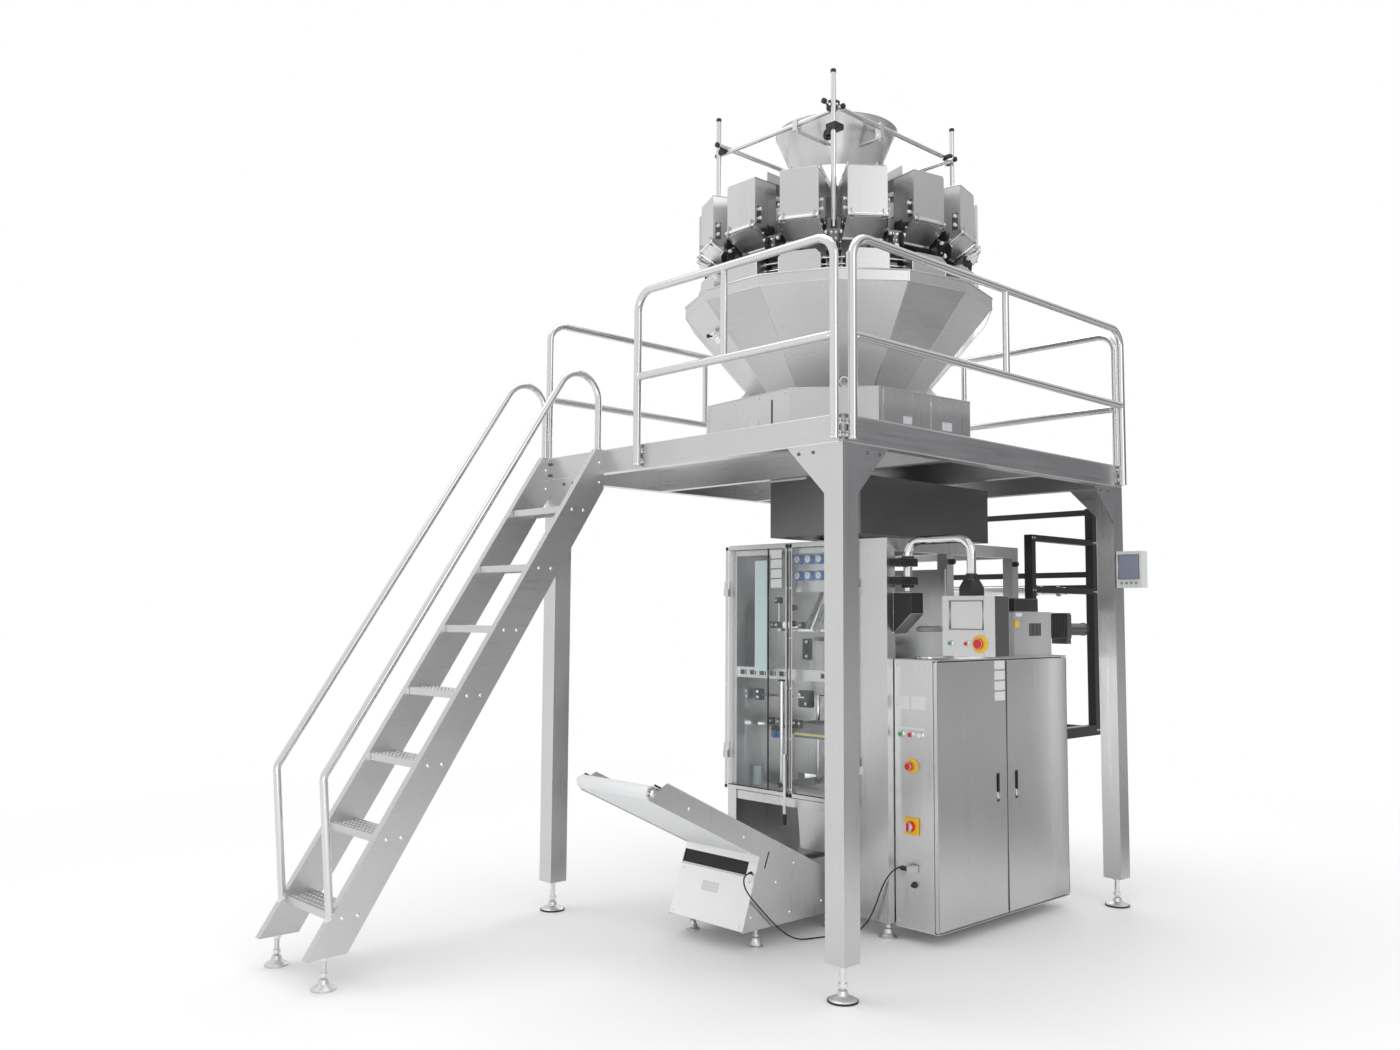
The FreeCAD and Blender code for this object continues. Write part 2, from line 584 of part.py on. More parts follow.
def weigher_top():
    cap_z = PAN_Z + 66
    spread = Part.makeCone(258, 22, 130, V(0, 0, cap_z), V(0, 0, 1))
    stem = cyl(90, (0, 0, DRUM_Z[1]), (0, 0, cap_z))
    save("dispersion_cone", fuse([spread, stem]))

    height = CONE_HEIGHT
    outer = Part.makeCone(CONE_LOW_R, CONE_TOP_R, height, V(0, 0, CONE_LOW_Z), V(0, 0, 1))
    inner = Part.makeCone(CONE_LOW_R - SHEET, CONE_TOP_R - SHEET, height,
                          V(0, 0, CONE_LOW_Z), V(0, 0, 1))
    cone = outer.cut(inner)

    px = POLE_RING * math.cos(math.radians(2 * PITCH))
    py = POLE_RING * math.sin(math.radians(2 * PITCH))
    poles = [cyl(POLE_R, (sx * px, sy * py, POLE_FOOT_Z), (sx * px, sy * py, ROD_Z + POLE_OVER))
             for sx, sy in CORNERS]
    inset = 2 * POLE_R + 2
    level = POLE_R + 1
    long_rods = [cyl(POLE_R, (sx * (px - inset), -py - 45, ROD_Z + level),
                     (sx * (px - inset), py + 45, ROD_Z + level)) for sx in (1, -1)]
    cross_rods = [cyl(POLE_R, (-px - 45, sy * (py - inset), ROD_Z - level),
                      (px + 45, sy * (py - inset), ROD_Z - level)) for sy in (1, -1)]
    save("frame_rods", poles + long_rods + cross_rods)
    clamps = []
    for sx, sy in CORNERS:
        cx, cy = sx * (px - POLE_R), sy * (py - POLE_R)
        block = box(cx - CLAMP_HALF, cx + CLAMP_HALF, cy - CLAMP_HALF, cy + CLAMP_HALF,
                    ROD_Z - CLAMP_HALF, ROD_Z + CLAMP_HALF)
        for other in poles + long_rods + cross_rods:
            block = block.cut(other)
        clamps.append(max(block.Solids, key=lambda s: s.Volume))
    save("rod_clamps", clamps)
    # four flat bars, each clamped under a rod, carry the infeed cone
    solid_cone = Part.makeCone(CONE_LOW_R, CONE_TOP_R, height, V(0, 0, CONE_LOW_Z), V(0, 0, 1))
    hangers = []
    for reach, rod_z, side, turn in ((py - inset, ROD_Z - level, HANGER_SIDE[0], -90),
                                     (py - inset, ROD_Z - level, HANGER_SIDE[0], 90),
                                     (px - inset, ROD_Z + level, HANGER_SIDE[1], 0),
                                     (px - inset, ROD_Z + level, HANGER_SIDE[1], 180)):
        grip = POLE_R + 5
        clamp = box(reach - grip, reach + grip, side - 15, side + 15, HANGER_Z, rod_z + grip)
        bar = box(CONE_LOW_R / 2, reach, side - 12, side + 12, HANGER_Z, HANGER_Z + 6)
        hanger = fuse([clamp, bar]).cut(cyl(POLE_R, (reach, side - 20, rod_z),
                                            (reach, side + 20, rod_z)))
        hanger = turned(hanger, turn).cut(solid_cone)
        hangers.append(max(hanger.Solids, key=lambda s: s.Volume))
    save("infeed_cone", fuse([cone] + hangers))
    sensor_z = SENSOR_Z
    sensor = fuse([cyl(22, (px - 70, -py + 40, sensor_z), (px - 88, -py + 62, sensor_z)),
                   box(px - 84, px - 8, -py + 30, -py + 44, sensor_z - 14, sensor_z + 14),
                   box(px - 30, px + 30, -py - 24, -py + 44, sensor_z - 14, sensor_z + 14)])
    save("level_sensor", sensor.cut(poles[0]))


# ---- bagging machine ------------------------------------------------------------------
def bagger():
    x0, x1 = BAG_X
    y0, y1 = BAG_FRONT, BAG_REAR
    z0, z1 = BAG_Z
    bars = []
    for x in (x0, x1 - POST):
        for y in (y0, MID_POST_Y - POST / 2, y1 - POST):
            bars.append(box(x, x + POST, y, y + POST, z0, z1))
        for z in (z0, z1 - POST):
            bars.append(box(x, x + POST, y0, y1, z, z + POST))
        bars.append(box(x, x + POST, y0, y1, 560, 600))
    for y, z in ((y0, z1 - POST), (y1 - POST, z0), (y1 - POST, z1 - POST)):
        bars.append(box(x0, x1, y, y + POST, z, z + POST))
    bars.append(box(x0, x1, y0 + 6, y0 + 46, 545, 590))
    bars.append(box(x0, x1, y0 + 14, y0 + 54, 1200, 1257))
    bars.append(box(x0, x1, MID_POST_Y - POST / 2, MID_POST_Y + POST / 2, z1 - POST, z1))
    for z in ARM_CLAMPS:
        clamp = box(x1, ARM_X + 34, y0 + 20, ARM_Y + 34, z, z + CLAMP_HIGH)
        bars.append(clamp.cut(cyl(ARM_R + PIN_CLEAR, (ARM_X, ARM_Y, z), (ARM_X, ARM_Y, z + CLAMP_HIGH))))

    front = BAG_FRONT - DOOR_GAP
    hinge_y = front - DOOR_THICK / 2
    door_right = SIDE_PANEL_X - 4
    left = [hinge(x0 - HINGE_OUT, hinge_y, z, y0, 1) for z in HINGE_HEIGHTS]
    right = [hinge(door_right + HINGE_OUT, hinge_y, z, y0 - PANEL, -1) for z in HINGE_HEIGHTS]
    # box under the swing pipe, with a slanting underside
    under = ARM_FOOT - 8
    housing = prism([(x1, y0 + 46, under), (x1 + 105, y0 + 46, under), (x1 + 105, y0 + 46, under - 105),
                     (x1, y0 + 46, under - 200)], (0, 100, 0))
    bars.append(housing)
    save("bagger_frame", fuse(bars + [fixed for fixed, moving in left]))

    t = PANEL
    post_y = MID_POST_Y - POST / 2
    panels = [box(SIDE_PANEL_X, x1, y0 - t, y0, z0, z1 - 20),
              box(x0 - t, x0, y0, post_y, 600, z1 - 40),
              box(x0 - t, x0, y0, y1, z0 + 20, 598),
              box(x0 + 10, x1 - 10, post_y - 6, post_y, 640, 1780),
              box(x0 + POST, x1 - POST, y1 - 5, y1 - 1, z0 + POST, 1240)]
    left_x, right_x, low_z = GAUGE_BOARD
    board_y = y0 + GAUGE_BACK
    board = box(left_x, right_x, board_y, board_y + 8, low_z, z1 - POST)
    gauges = [cyl(GAUGE_R, (x, board_y - 28, z), (x, board_y, z)) for x in GAUGE_XS
              for z in GAUGE_ZS]
    panels.append(fuse([board] + gauges))
    panels[0] = fuse([panels[0]] + [fixed for fixed, moving in right])
    save("bagger_panels", panels)

    za, zb = DOOR_Z

    def door(xa, xb, stile):
        """Leaf with a thinner clear pane; stile is the extra width of its right-hand edge."""
        leaf = box(xa, xb, front - DOOR_THICK, front, za, zb)
        pa, pb = xa + 22, xb - stile - 22
        leaf = leaf.cut(box(pa, pb, front - DOOR_THICK - 1, front - 8, za + 22, zb - 22))
        leaf = leaf.cut(box(pa, pb, front - 4, front + 1, za + 22, zb - 22))
        return leaf
    save("bagger_door_left", fuse([door(x0, DOOR_MEET_X - 3, 125)] + [m for fixed, m in left]))
    save("bagger_door_right", fuse([door(DOOR_MEET_X + 3, door_right, 0)] + [m for fixed, m in right]))

    tube_low, tube_high = TUBE_Z
    wall = TUBE_SHEET
    pipe = cyl(TUBE_R, (0, 0, tube_low), (0, 0, tube_high)).cut(
        cyl(TUBE_R - wall, (0, 0, tube_low - 1), (0, 0, tube_high + 1)))
    at = V(0, 0, tube_high)
    inside = Part.makeCone(TUBE_R - wall, MOUTH_R - wall, MOUTH_HIGH, at, V(0, 0, 1))
    mouth = Part.makeCone(TUBE_R, MOUTH_R, MOUTH_HIGH, at, V(0, 0, 1)).cut(inside)
    shelf_z = tube_high + MOUTH_SHELF[0]
    reach = TUBE_R + 28
    shelf = box(-reach, reach, -reach, post_y, shelf_z, shelf_z + MOUTH_SHELF[1]).cut(inside)
    save("forming_tube", fuse([pipe, mouth, shelf]))
    # forming shoulder: the film climbs its flank and folds over the edge into the tube
    (low_z, high_z), (low_r, high_r) = COLLAR_Z, COLLAR_R
    flank = Part.makeCone(low_r, high_r, high_z - low_z, V(0, 0, low_z), V(0, 0, 1)).cut(
        Part.makeCone(low_r - 6, high_r - 6, high_z - low_z, V(0, 0, low_z), V(0, 0, 1)))
    plate = box(-240, 240, -120 - low_r / 2, post_y - 6, low_z - PLATE_THICK, low_z).cut(
        cyl(low_r - 20, (0, 0, low_z - PLATE_THICK - 1), (0, 0, low_z + 1)))
    save("forming_collar", fuse([flank, plate]))
    belts = []
    for s in (1, -1):
        inner, outer = TUBE_R + 1, TUBE_R + 1 + PULL_BELT_WIDE
        low, high = PULL_BELT_Z
        belt = box(*sorted((s * inner, s * outer)), -30, 30, low, high)
        gearbox = box(*sorted((s * outer, s * (outer + 80))), -45, 45, high - 90, high + 20)
        motor_x = s * (outer + 40)
        motor = cyl(30, (motor_x, 0, low + 90), (motor_x, 0, high - 90))
        arm = box(motor_x - 15, motor_x + 15, 45, post_y - 6, high - 70, high - 20)
        belts.append(fuse([belt, gearbox, motor, arm]))
    save("film_pull_belts", belts)
    half, (low, high), gap, far = JAW_HALF, JAW_Z, JAW_GAP, JAW_GAP + JAW_DEEP
    back_y = post_y - 6
    jaws = fuse([box(-half, half, gap, far, low, high)]
                + [box(*sorted((s * (half - 40), s * (half - 80))), far, back_y, low + 10, high - 10)
                   for s in (1, -1)])
    outer = half + 2 + JAW_ARM
    front_jaw = fuse([box(-half, half, -far, -gap, low, high),
                      box(-half - 5, half + 5, -far, 32 - far, low + 15, high - 15)]
                     + [box(*sorted((s * (half + 2), s * outer)), -far, back_y, low + 15, high - 15)
                        for s in (1, -1)])
    save("seal_jaws", [jaws, front_jaw])
    half, (low, high), t = BAG_CHUTE_HALF, BAG_CHUTE_Z, PANEL
    chute = side_prism([(-110, low), (60, low), (95, high), (-145, high)], -half, half).cut(
        side_prism([(t - 110, low - 10), (60 - t, low - 10), (95 - t, high + 10), (t - 145, high + 10)],
                   t - half, half - t))
    bars_chute = [box(half, x1 - POST, -20, 20, 565, 595), box(x0 + POST, -half, -20, 20, 565, 595)]
    save("bag_chute", fuse([chute] + bars_chute))


def cabinet():
    x0, x1 = CAB_X
    y0, y1 = CAB_Y
    z0, z1 = CAB_Z
    wall = x1 - CAB_DOOR_THICK - 5
    s = CAB_SHEET
    shell = box(x0, wall, y0, y1, z0, z1).cut(box(x0 + s, wall + 1, y0 + s, y1 - s, z0 + s, z1 - s))
    covers = [box(wall - 1, x1, y0, y1, z, z + s) for z in (z0, z1 - s)]
    low, high = z0 + s + 5, z1 - s - 5
    pivots = [(x1 - 8, y0 + 8), (x1 - 8, y1 - 8)]
    pins = [cyl(PIVOT_R, (x, y, za), (x, y, zb)) for x, y in pivots
            for za, zb in ((z0 + s, low + 12), (high - 12, z1 - s))]
    plate = box(x0 + 30, x0 + 34, y0 + 60, y1 - 60, z0 + 60, z1 - 60)
    stays = [box(x0 + s, x0 + 30, y, y + 30, z, z + 30) for y in (y0 + 70, y1 - 100)
             for z in (z0 + 80, z1 - 110)]
    lugs = [box(BAG_X[1], x0, y, y + 50, z, z + 50) for y in (210, 835) for z in (140, 1240)]
    mid = (y0 + y1) / 2.0
    door_x = (x1 - CAB_DOOR_THICK, x1)
    handle_z = HANDLE_Z
    for name, a, b, hy in (("cabinet_door_front", y0, mid - 3, mid - HANDLE_OFF),
                           ("cabinet_door_rear", mid + 3, y1, mid + HANDLE_OFF)):
        leaf = box(door_x[0], door_x[1], a, b, low, high)
        for x, y in pivots:
            leaf = leaf.cut(cyl(PIVOT_R + PIN_CLEAR, (x, y, low - 1), (x, y, low + 13)))
            leaf = leaf.cut(cyl(PIVOT_R + PIN_CLEAR, (x, y, high - 13), (x, y, high + 1)))
        leaf = leaf.cut(box(x1 - 8, x1 + 1, hy - 14, hy + 14, *handle_z))
        lever = box(x1 - 8, x1 - 2, hy - 10, hy + 10, handle_z[0] + 30, handle_z[1] - 4)
        save(name, fuse([leaf, lever]))
    controls = [cyl(14, (x, y0 - 16, BUTTON_Z), (x, y0, BUTTON_Z)) for x in BUTTON_XS]
    x = CONTROL_X
    controls.append(fuse([cyl(34, (x, y0 - 6, STOP_Z), (x, y0, STOP_Z)),
                          cyl(20, (x, y0 - 38, STOP_Z), (x, y0 - 6, STOP_Z))]))
    controls.append(fuse([box(x - 38, x + 38, y0 - 10, y0, SWITCH_Z - 38, SWITCH_Z + 38),
                          cyl(24, (x, y0 - 40, SWITCH_Z), (x, y0 - 10, SWITCH_Z))]))
    x, z = SOCKET
    controls.append(fuse([box(x - 14, x + 14, y0 - SOCKET_OUT - 14, y0, z - 14, z + 14),
                          cyl(11, (x - 42, y0 - SOCKET_OUT, z), (x - 14, y0 - SOCKET_OUT, z))]))
    controls.append(cyl(13, (CONTROL_X + 12, y0 - 8, GLAND_Z), (CONTROL_X + 12, y0, GLAND_Z)))
    save("control_cabinet", fuse([shell, plate] + covers + pins + stays + lugs + controls))
    x, y = JAR
    turned_outline = [(0, z1), (62, z1), (70, z1 + 10), (70, z1 + 105), (56, z1 + 128), (56, z1 + 136),
                      (64, z1 + 136), (64, z1 + 160), (0, z1 + 160)]
    face = Part.Face(Part.makePolygon([V(x + r, y, z) for r, z in
                                       turned_outline + turned_outline[:1]]))
    save("filter_jar", face.revolve(V(x, y, z1), V(0, 0, 1), 360))


def operator_panel():
    end_x = ARM_X + ARM_REACH
    joint_top = HMI_LOW + HMI_SIZE[2] + 75
    pipe = tube([(ARM_X, ARM_Y, ARM_FOOT), (ARM_X, ARM_Y, ARM_TOP), (end_x, ARM_Y, ARM_TOP),
                 (end_x, ARM_Y, joint_top - 10)], [ARM_BEND, ARM_BEND], ARM_R)
    seat = ARM_CLAMPS[1] + CLAMP_HIGH + PIN_CLEAR
    collar = cyl(ARM_R + 9, (ARM_X, ARM_Y, seat), (ARM_X, ARM_Y, seat + 9))
    save("panel_arm", fuse([pipe, collar]))
    w, d, h = HMI_SIZE
    z1 = HMI_LOW + h
    case = box(end_x - w / 2, end_x + w / 2, ARM_Y - 30, ARM_Y - 30 + d, HMI_LOW, z1)
    neck = fuse([frustum(polygon_ring(6, 62, z1), polygon_ring(6, 62, z1 + 40)),
                 frustum(polygon_ring(6, 62, z1 + 40), polygon_ring(6, 40, z1 + 75))])
    neck.translate(V(end_x, ARM_Y, 0))
    bore = cyl(ARM_R + PIN_CLEAR, (end_x, ARM_Y, joint_top - 12), (end_x, ARM_Y, joint_top + 5))
    case = fuse([case, neck]).cut(bore)
    left, right, low, high = SCREEN
    face = ARM_Y - 30
    case = case.cut(box(end_x + left, end_x + right, face - 10, face + 1, HMI_LOW + low,
                        HMI_LOW + high))
    z = HMI_LOW + HMI_CONTROL_HIGH
    knobs = [cyl(12, (end_x + dx, face - 14, z), (end_x + dx, face + 1, z)) for dx in HMI_BUTTONS]
    stop = cyl(24, (end_x + HMI_STOP, face - 26, z), (end_x + HMI_STOP, face + 1, z))
    save("operator_panel", fuse([case, stop] + knobs))


def drives_and_rack():
    top = CAB_Z[1]
    (w, d, h), (x, y), (tw, td, th) = DRIVE_BOX, DRIVE_AT, TERMINAL_BOX
    save("drive_box", fuse([box(x, x + w, y, y + d, top, top + h),
                            box(x + w - 5 - tw, x + w - 5, y + 20, y + 20 + td, top + h,
                                top + h + th)]))
    motor = fuse([box(625, 745, 850, 1130, top + 92, top + 222),
                  cyl(34, (685, 1130, top + 140), (685, 1380, top + 140)),
                  box(640, 730, 1100, 1150, top + 60, top + 232)])
    save("drive_motor", motor)

    bar = RACK_BAR
    (sill_a, sill_b), front = RACK_SILL, RACK_FRONT_UPRIGHT
    parts = []
    for x in (BAG_X[0], BAG_X[1] - bar):
        xa, xb = x, x + bar
        parts += [box(xa, xb, BAG_REAR, RACK_REAR, sill_a, sill_b),
                  box(xa, xb, RACK_REAR - bar, RACK_REAR, sill_a, RACK_TOP),
                  box(xa, xb, front, front + 40, sill_b, RACK_RAILS[0][1])]
        parts += [box(xa, xb, front, RACK_REAR - bar, za, zb) for za, zb in RACK_RAILS]
    parts += [box(BAG_X[0] + bar, BAG_X[1] - bar, RACK_REAR - 42, RACK_REAR - 8, z, z + 34)
              for z in RACK_CROSS_ZS]
    save("film_rack", fuse(parts))
    rolls = [cyl(RACK_ROLL_R, (BAG_X[0] + bar, y, z), (BAG_X[1] - bar, y, z)) for y, z in RACK_ROLLS]
    save("film_rollers", rolls)


# ---- under the deck -------------------------------------------------------------------
def chute_box():
    (x0, x1), (y0, y1), z0, s = CHUTE_X, CHUTE_Y, CHUTE_LOW, CHUTE_SHEET
    case = box(x0, x1, y0, y1, z0, BEAM_LOW)
    case = case.cut(box(x0 + s, x1 - s, y0 + s, y1 - s, z0 + s, BEAM_LOW - s))
    neck = cyl(OUTLET_R + s, (0, 0, BEAM_LOW - 2), (0, 0, BEAM_TOP)).cut(
        cyl(OUTLET_R, (0, 0, BEAM_LOW - 10), (0, 0, BEAM_TOP + 1)))
    case = case.cut(cyl(OUTLET_R, (0, 0, BEAM_LOW - 10), (0, 0, BEAM_LOW + 1)))
    case = case.cut(cyl(CHUTE_MOUTH_R, (0, 0, z0 - 1), (0, 0, z0 + 10)))
    save("discharge_chute", fuse([case, neck]))


# ---- take-off conveyor ----------------------------------------------------------------
def conveyor():
    (ya, za), (yb, zb) = CONV_LOW, CONV_HIGH
    length = math.hypot(yb - ya, zb - za)
    uy, uz = (yb - ya) / length, (zb - za) / length      # along, towards the high end
    ny, nz = uz, -uy                                      # up out of the belt
    if nz < 0:
        ny, nz = -ny, -nz

    def pt(s, n):
        return (ya + uy * s + ny * n, za + uz * s + nz * n)
    r_out = ROLLER_R + BELT

    def loop(r, x0, x1):
        pieces = [side_prism([pt(0, -r), pt(length, -r), pt(length, r), pt(0, r)], x0, x1)]
        for y, z in (CONV_LOW, CONV_HIGH):
            pieces.append(cyl(r, (x0, y, z), (x1, y, z)))
        return fuse(pieces)
    belt = loop(r_out, -236, 236).cut(loop(ROLLER_R, -240, 240))
    save("conveyor_belt", belt)
    save("conveyor_rollers", [cyl(ROLLER_R, (-246, y, z), (246, y, z))
                              for y, z in (CONV_LOW, CONV_HIGH)])
    guide = [pt(-20, -34), pt(length - 20, -34), pt(length + 10, -20), pt(length - 60, 67), pt(-20, 67)]
    base = [(-980, 90), (-842, 476), (-500, 340), (-95, 130), (-95, 85)]
    sides = []
    for s in (1, -1):
        a, b = sorted((s * 246, s * CONV_HALF))
        sides.append(fuse([side_prism(guide, a, b), side_prism(base, a, b)]))
    save("conveyor_sides", sides)
    front_top = (-980 + 138 * 0.62, 90 + 386 * 0.62)
    body = side_prism([(-974, 92), front_top, (-760, BASE_TOP), (-300, 110), (-300, 92)], -246, 246)
    x, y = OUTLET_BLOCK
    block = box(x - 15, x + 15, y, y + 34, BASE_TOP - 4, BASE_TOP + 28)
    save("conveyor_base", fuse([body, block]))


def signal_cable():
    """Cable from the base of the conveyor over the floor to the socket on the cabinet."""
    start = (OUTLET_BLOCK[0], OUTLET_BLOCK[1], BASE_TOP + 15)
    end = (SOCKET[0] - 42, CAB_Y[0] - SOCKET_OUT, SOCKET[1])
    floor = CABLE_R + 0.2
    route = [start, (220, -921, 345), (230, -955, 328), (249, -964, 290), (265, -942, 249),
             (268, -900, 208), (266, -850, 162), (267, -800, 116), (270, -748, 72),
             (277, -692, 32), (286, -630, 8), (300, -563, floor), (322, -495, floor),
             (350, -440, floor), (382, -392, 6), (418, -362, 22), (450, -344, 56),
             (476, -334, 98), (498, -328, 146), (516, -323, 196), (534, -319, 244),
             (556, -313, 288), (582, -303, 325), (612, -295, 349), end]
    pts = [V(*p) for p in route]
    radii = []
    for i in range(1, len(pts) - 1):
        a, b = pts[i - 1] - pts[i], pts[i + 1] - pts[i]
        turn = math.pi - a.getAngle(b)
        radii.append(0.45 * min(a.Length, b.Length) / math.tan(turn / 2.0))
    wire = bent_path(route, radii)
    ring = Part.Wire([Part.makeCircle(CABLE_R, pts[0], pts[1] - pts[0])])
    cable = wire.makePipeShell([ring], True, True)
    print("cable", round(wire.Length, 1), "least radius", round(min(radii), 1), "volume ratio",
          round(cable.Volume / (math.pi * CABLE_R ** 2 * wire.Length), 4))
    save("signal_cable", cable)


def feet(stair_foot_y):
    inset = LEG / 2.0
    out = [foot(sx * (HX - inset), sy * (HY - inset), LEG_FOOT_Z) for sx, sy in CORNERS]
    out += [foot(x, stair_foot_y, STAIR_FOOT_Z, 50, 11) for x in STAIR_X]
    out += [foot(x, y, BAG_Z[0], 45, 11) for x in (BAG_X[0] + 30, BAG_X[1] - 30)
            for y in (BAG_FRONT + 30, BAG_REAR - 30)]
    out += [foot(sx * 215, y, 92, 34, 9) for sx in (1, -1) for y in (-855, -330)]
    save("levelling_feet", out)


def display():
    x0 = HX
    case = box(x0 + 6, x0 + 146, HY - 92, HY - 24, 1697, 1893)
    bracket = box(x0, x0 + 6, HY - 80, HY - 36, 1740, 1850)
    save("display_box", fuse([case, bracket]))


platform()
guard_rails()
STAIR_FOOT_Y = stair()
weigher_heads(weigher_stand())
weigher_top()
bagger()
cabinet()
operator_panel()
drives_and_rack()
chute_box()
conveyor()
signal_cable()
feet(STAIR_FOOT_Y)
display()
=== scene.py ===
"""Looks of the multihead weigher packing machine: finishes, small fittings, light and camera.

Pieces are drawn in millimetres about the upright axis of the weigher, X right seen from the
front, Y to the back, Z up, and set down in the frame of the CAD in metres.
"""
import bpy
import bmesh
from math import atan2, copysign, cos, hypot, pi, radians, sin, sqrt, tan
from mathutils import Matrix, Vector


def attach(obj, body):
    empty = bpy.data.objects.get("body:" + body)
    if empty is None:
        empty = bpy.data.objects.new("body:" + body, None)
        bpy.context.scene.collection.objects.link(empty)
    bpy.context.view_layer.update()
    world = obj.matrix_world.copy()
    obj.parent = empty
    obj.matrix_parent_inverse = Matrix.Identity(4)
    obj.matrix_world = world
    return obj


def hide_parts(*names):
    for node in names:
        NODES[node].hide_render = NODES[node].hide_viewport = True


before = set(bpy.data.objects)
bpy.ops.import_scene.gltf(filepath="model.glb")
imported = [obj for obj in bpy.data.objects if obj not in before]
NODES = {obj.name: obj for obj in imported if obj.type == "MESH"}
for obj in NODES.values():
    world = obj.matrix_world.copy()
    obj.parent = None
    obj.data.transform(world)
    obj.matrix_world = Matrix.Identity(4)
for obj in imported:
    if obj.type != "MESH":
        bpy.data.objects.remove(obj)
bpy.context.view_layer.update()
AXIS = Vector((-0.975, 1.145, 0.0))      # foot of the weigher's upright axis on the floor
BODY = "machine"
HEADS = 14
PITCH = 360.0 / HEADS
HEAD_ANGLES = [-90.0 + k * PITCH for k in range(HEADS)]
GAP_ANGLES = [a + PITCH / 2.0 for a in HEAD_ANGLES]


def at(x, y, z):
    return AXIS + Vector((x, y, z)) / 1000.0


# ---- camera ---------------------------------------------------------------------------
def photo_camera():
    """Eye height 1.54 m, looking a little up along the diagonal of the platform."""
    turn, pitch, roll = radians(46.58), radians(4.41), radians(0.36)
    data = bpy.data.cameras.new("camera")
    data.lens = 29.83
    data.sensor_width = 36.0
    cam = bpy.data.objects.new("camera", data)
    cam.matrix_world = (Matrix.Translation((3.0636, -3.7017, 1.5391))
                        @ Matrix.Rotation(turn, 4, "Z")
                        @ Matrix.Rotation(pi / 2 + pitch, 4, "X")
                        @ Matrix.Rotation(roll, 4, "Z"))
    bpy.context.scene.collection.objects.link(cam)
    bpy.context.scene.camera = cam


# ---- materials ------------------------------------------------------------------------
def add_node(tree, kind, values=None, **settings):
    """New shader node; values are numbers for its inputs, or sockets to link to them."""
    node = tree.nodes.new("ShaderNode" + kind)
    for key, value in settings.items():
        setattr(node, key, value)
    for key, value in (values or {}).items():
        if isinstance(value, bpy.types.NodeSocket):
            tree.links.new(value, node.inputs[key])
        else:
            node.inputs[key].default_value = value
    return node


def new_material(name, color, metallic=0.0, roughness=0.5):
    """Material with its node tree and its Principled BSDF."""
    mat = bpy.data.materials.new(name)
    mat.use_nodes = True
    bsdf = mat.node_tree.nodes["Principled BSDF"]
    for key, value in (("Base Color", (*color, 1.0)), ("Metallic", metallic),
                       ("Roughness", roughness)):
        bsdf.inputs[key].default_value = value
    return mat, mat.node_tree, bsdf


def noise(tree, stretch, scale, detail=3.0, rough=0.55):
    """Noise over the object's coordinates; a small stretch draws it out along that axis."""
    coords = add_node(tree, "TexCoord").outputs["Object"]
    mapping = add_node(tree, "Mapping", {"Vector": coords, "Scale": stretch})
    return add_node(tree, "TexNoise", {"Vector": mapping.outputs["Vector"], "Scale": scale,
                                       "Detail": detail, "Roughness": rough}).outputs["Fac"]


def ramp(tree, fac, low, high, start=0.3, end=0.7):
    node = add_node(tree, "ValToRGB", {"Fac": fac})
    stops = node.color_ramp.elements
    stops[0].position, stops[1].position = start, end
    stops[0].color, stops[1].color = (*low, 1.0), (*high, 1.0)
    return node.outputs["Color"]


def span(tree, fac, low, high, start=0.3, end=0.7, way="LINEAR"):
    """low to high while fac goes from start to end."""
    return add_node(tree, "MapRange", {"Value": fac, "From Min": start, "From Max": end,
                                       "To Min": low, "To Max": high},
                    interpolation_type=way).outputs["Result"]


def blend(tree, a, b, factor):
    return add_node(tree, "Mix", {"Factor": factor, "A": a, "B": b},
                    data_type="RGBA").outputs["Result"]


def bump(tree, bsdf, height, strength, distance):
    node = add_node(tree, "Bump", {"Height": height, "Strength": strength,
                                   "Distance": distance})
    tree.links.new(node.outputs["Normal"], bsdf.inputs["Normal"])


STREAK_SCALE, DRIFT_SCALE = 60.0, 2.2


def steel(name, tone, stretch, roughness, spread=0.05, grain=900.0, depth=0.00012):
    """Brushed stainless sheet: fine grain, broader streaks, a slow drift of tone and gloss."""
    mat, tree, bsdf = new_material(name, (tone,) * 3, 1.0, roughness)
    fine = noise(tree, stretch, grain)
    broad = noise(tree, stretch, STREAK_SCALE, 4.0, 0.7)
    slow = noise(tree, ALL_WAYS, DRIFT_SCALE, 2.0)
    low = tuple(tone - spread + d for d in (0.0, 0.002, 0.006))
    high = tuple(tone + spread + d for d in (0.004, 0.002, 0.0))
    grainy = blend(tree, ramp(tree, fine, low, high), ramp(tree, broad, low, high), 0.3)
    drift = blend(tree, grainy, ramp(tree, slow, low, high), 0.35)
    tree.links.new(drift, bsdf.inputs["Base Color"])
    tree.links.new(span(tree, broad, roughness - 0.04, roughness + 0.06),
                   bsdf.inputs["Roughness"])
    bump(tree, bsdf, fine, 0.25, depth)
    return mat


def plastic(name, color, roughness=0.45):
    """Moulded plastic or paint: fine orange-peel and a slight mottle of tone."""
    mat, tree, bsdf = new_material(name, color, 0.0, roughness)
    fine = noise(tree, ALL_WAYS, 700.0)
    dark = tuple(c * 0.86 for c in color)
    tree.links.new(ramp(tree, fine, dark, color), bsdf.inputs["Base Color"])
    bump(tree, bsdf, fine, 0.15, 0.0004)
    return mat


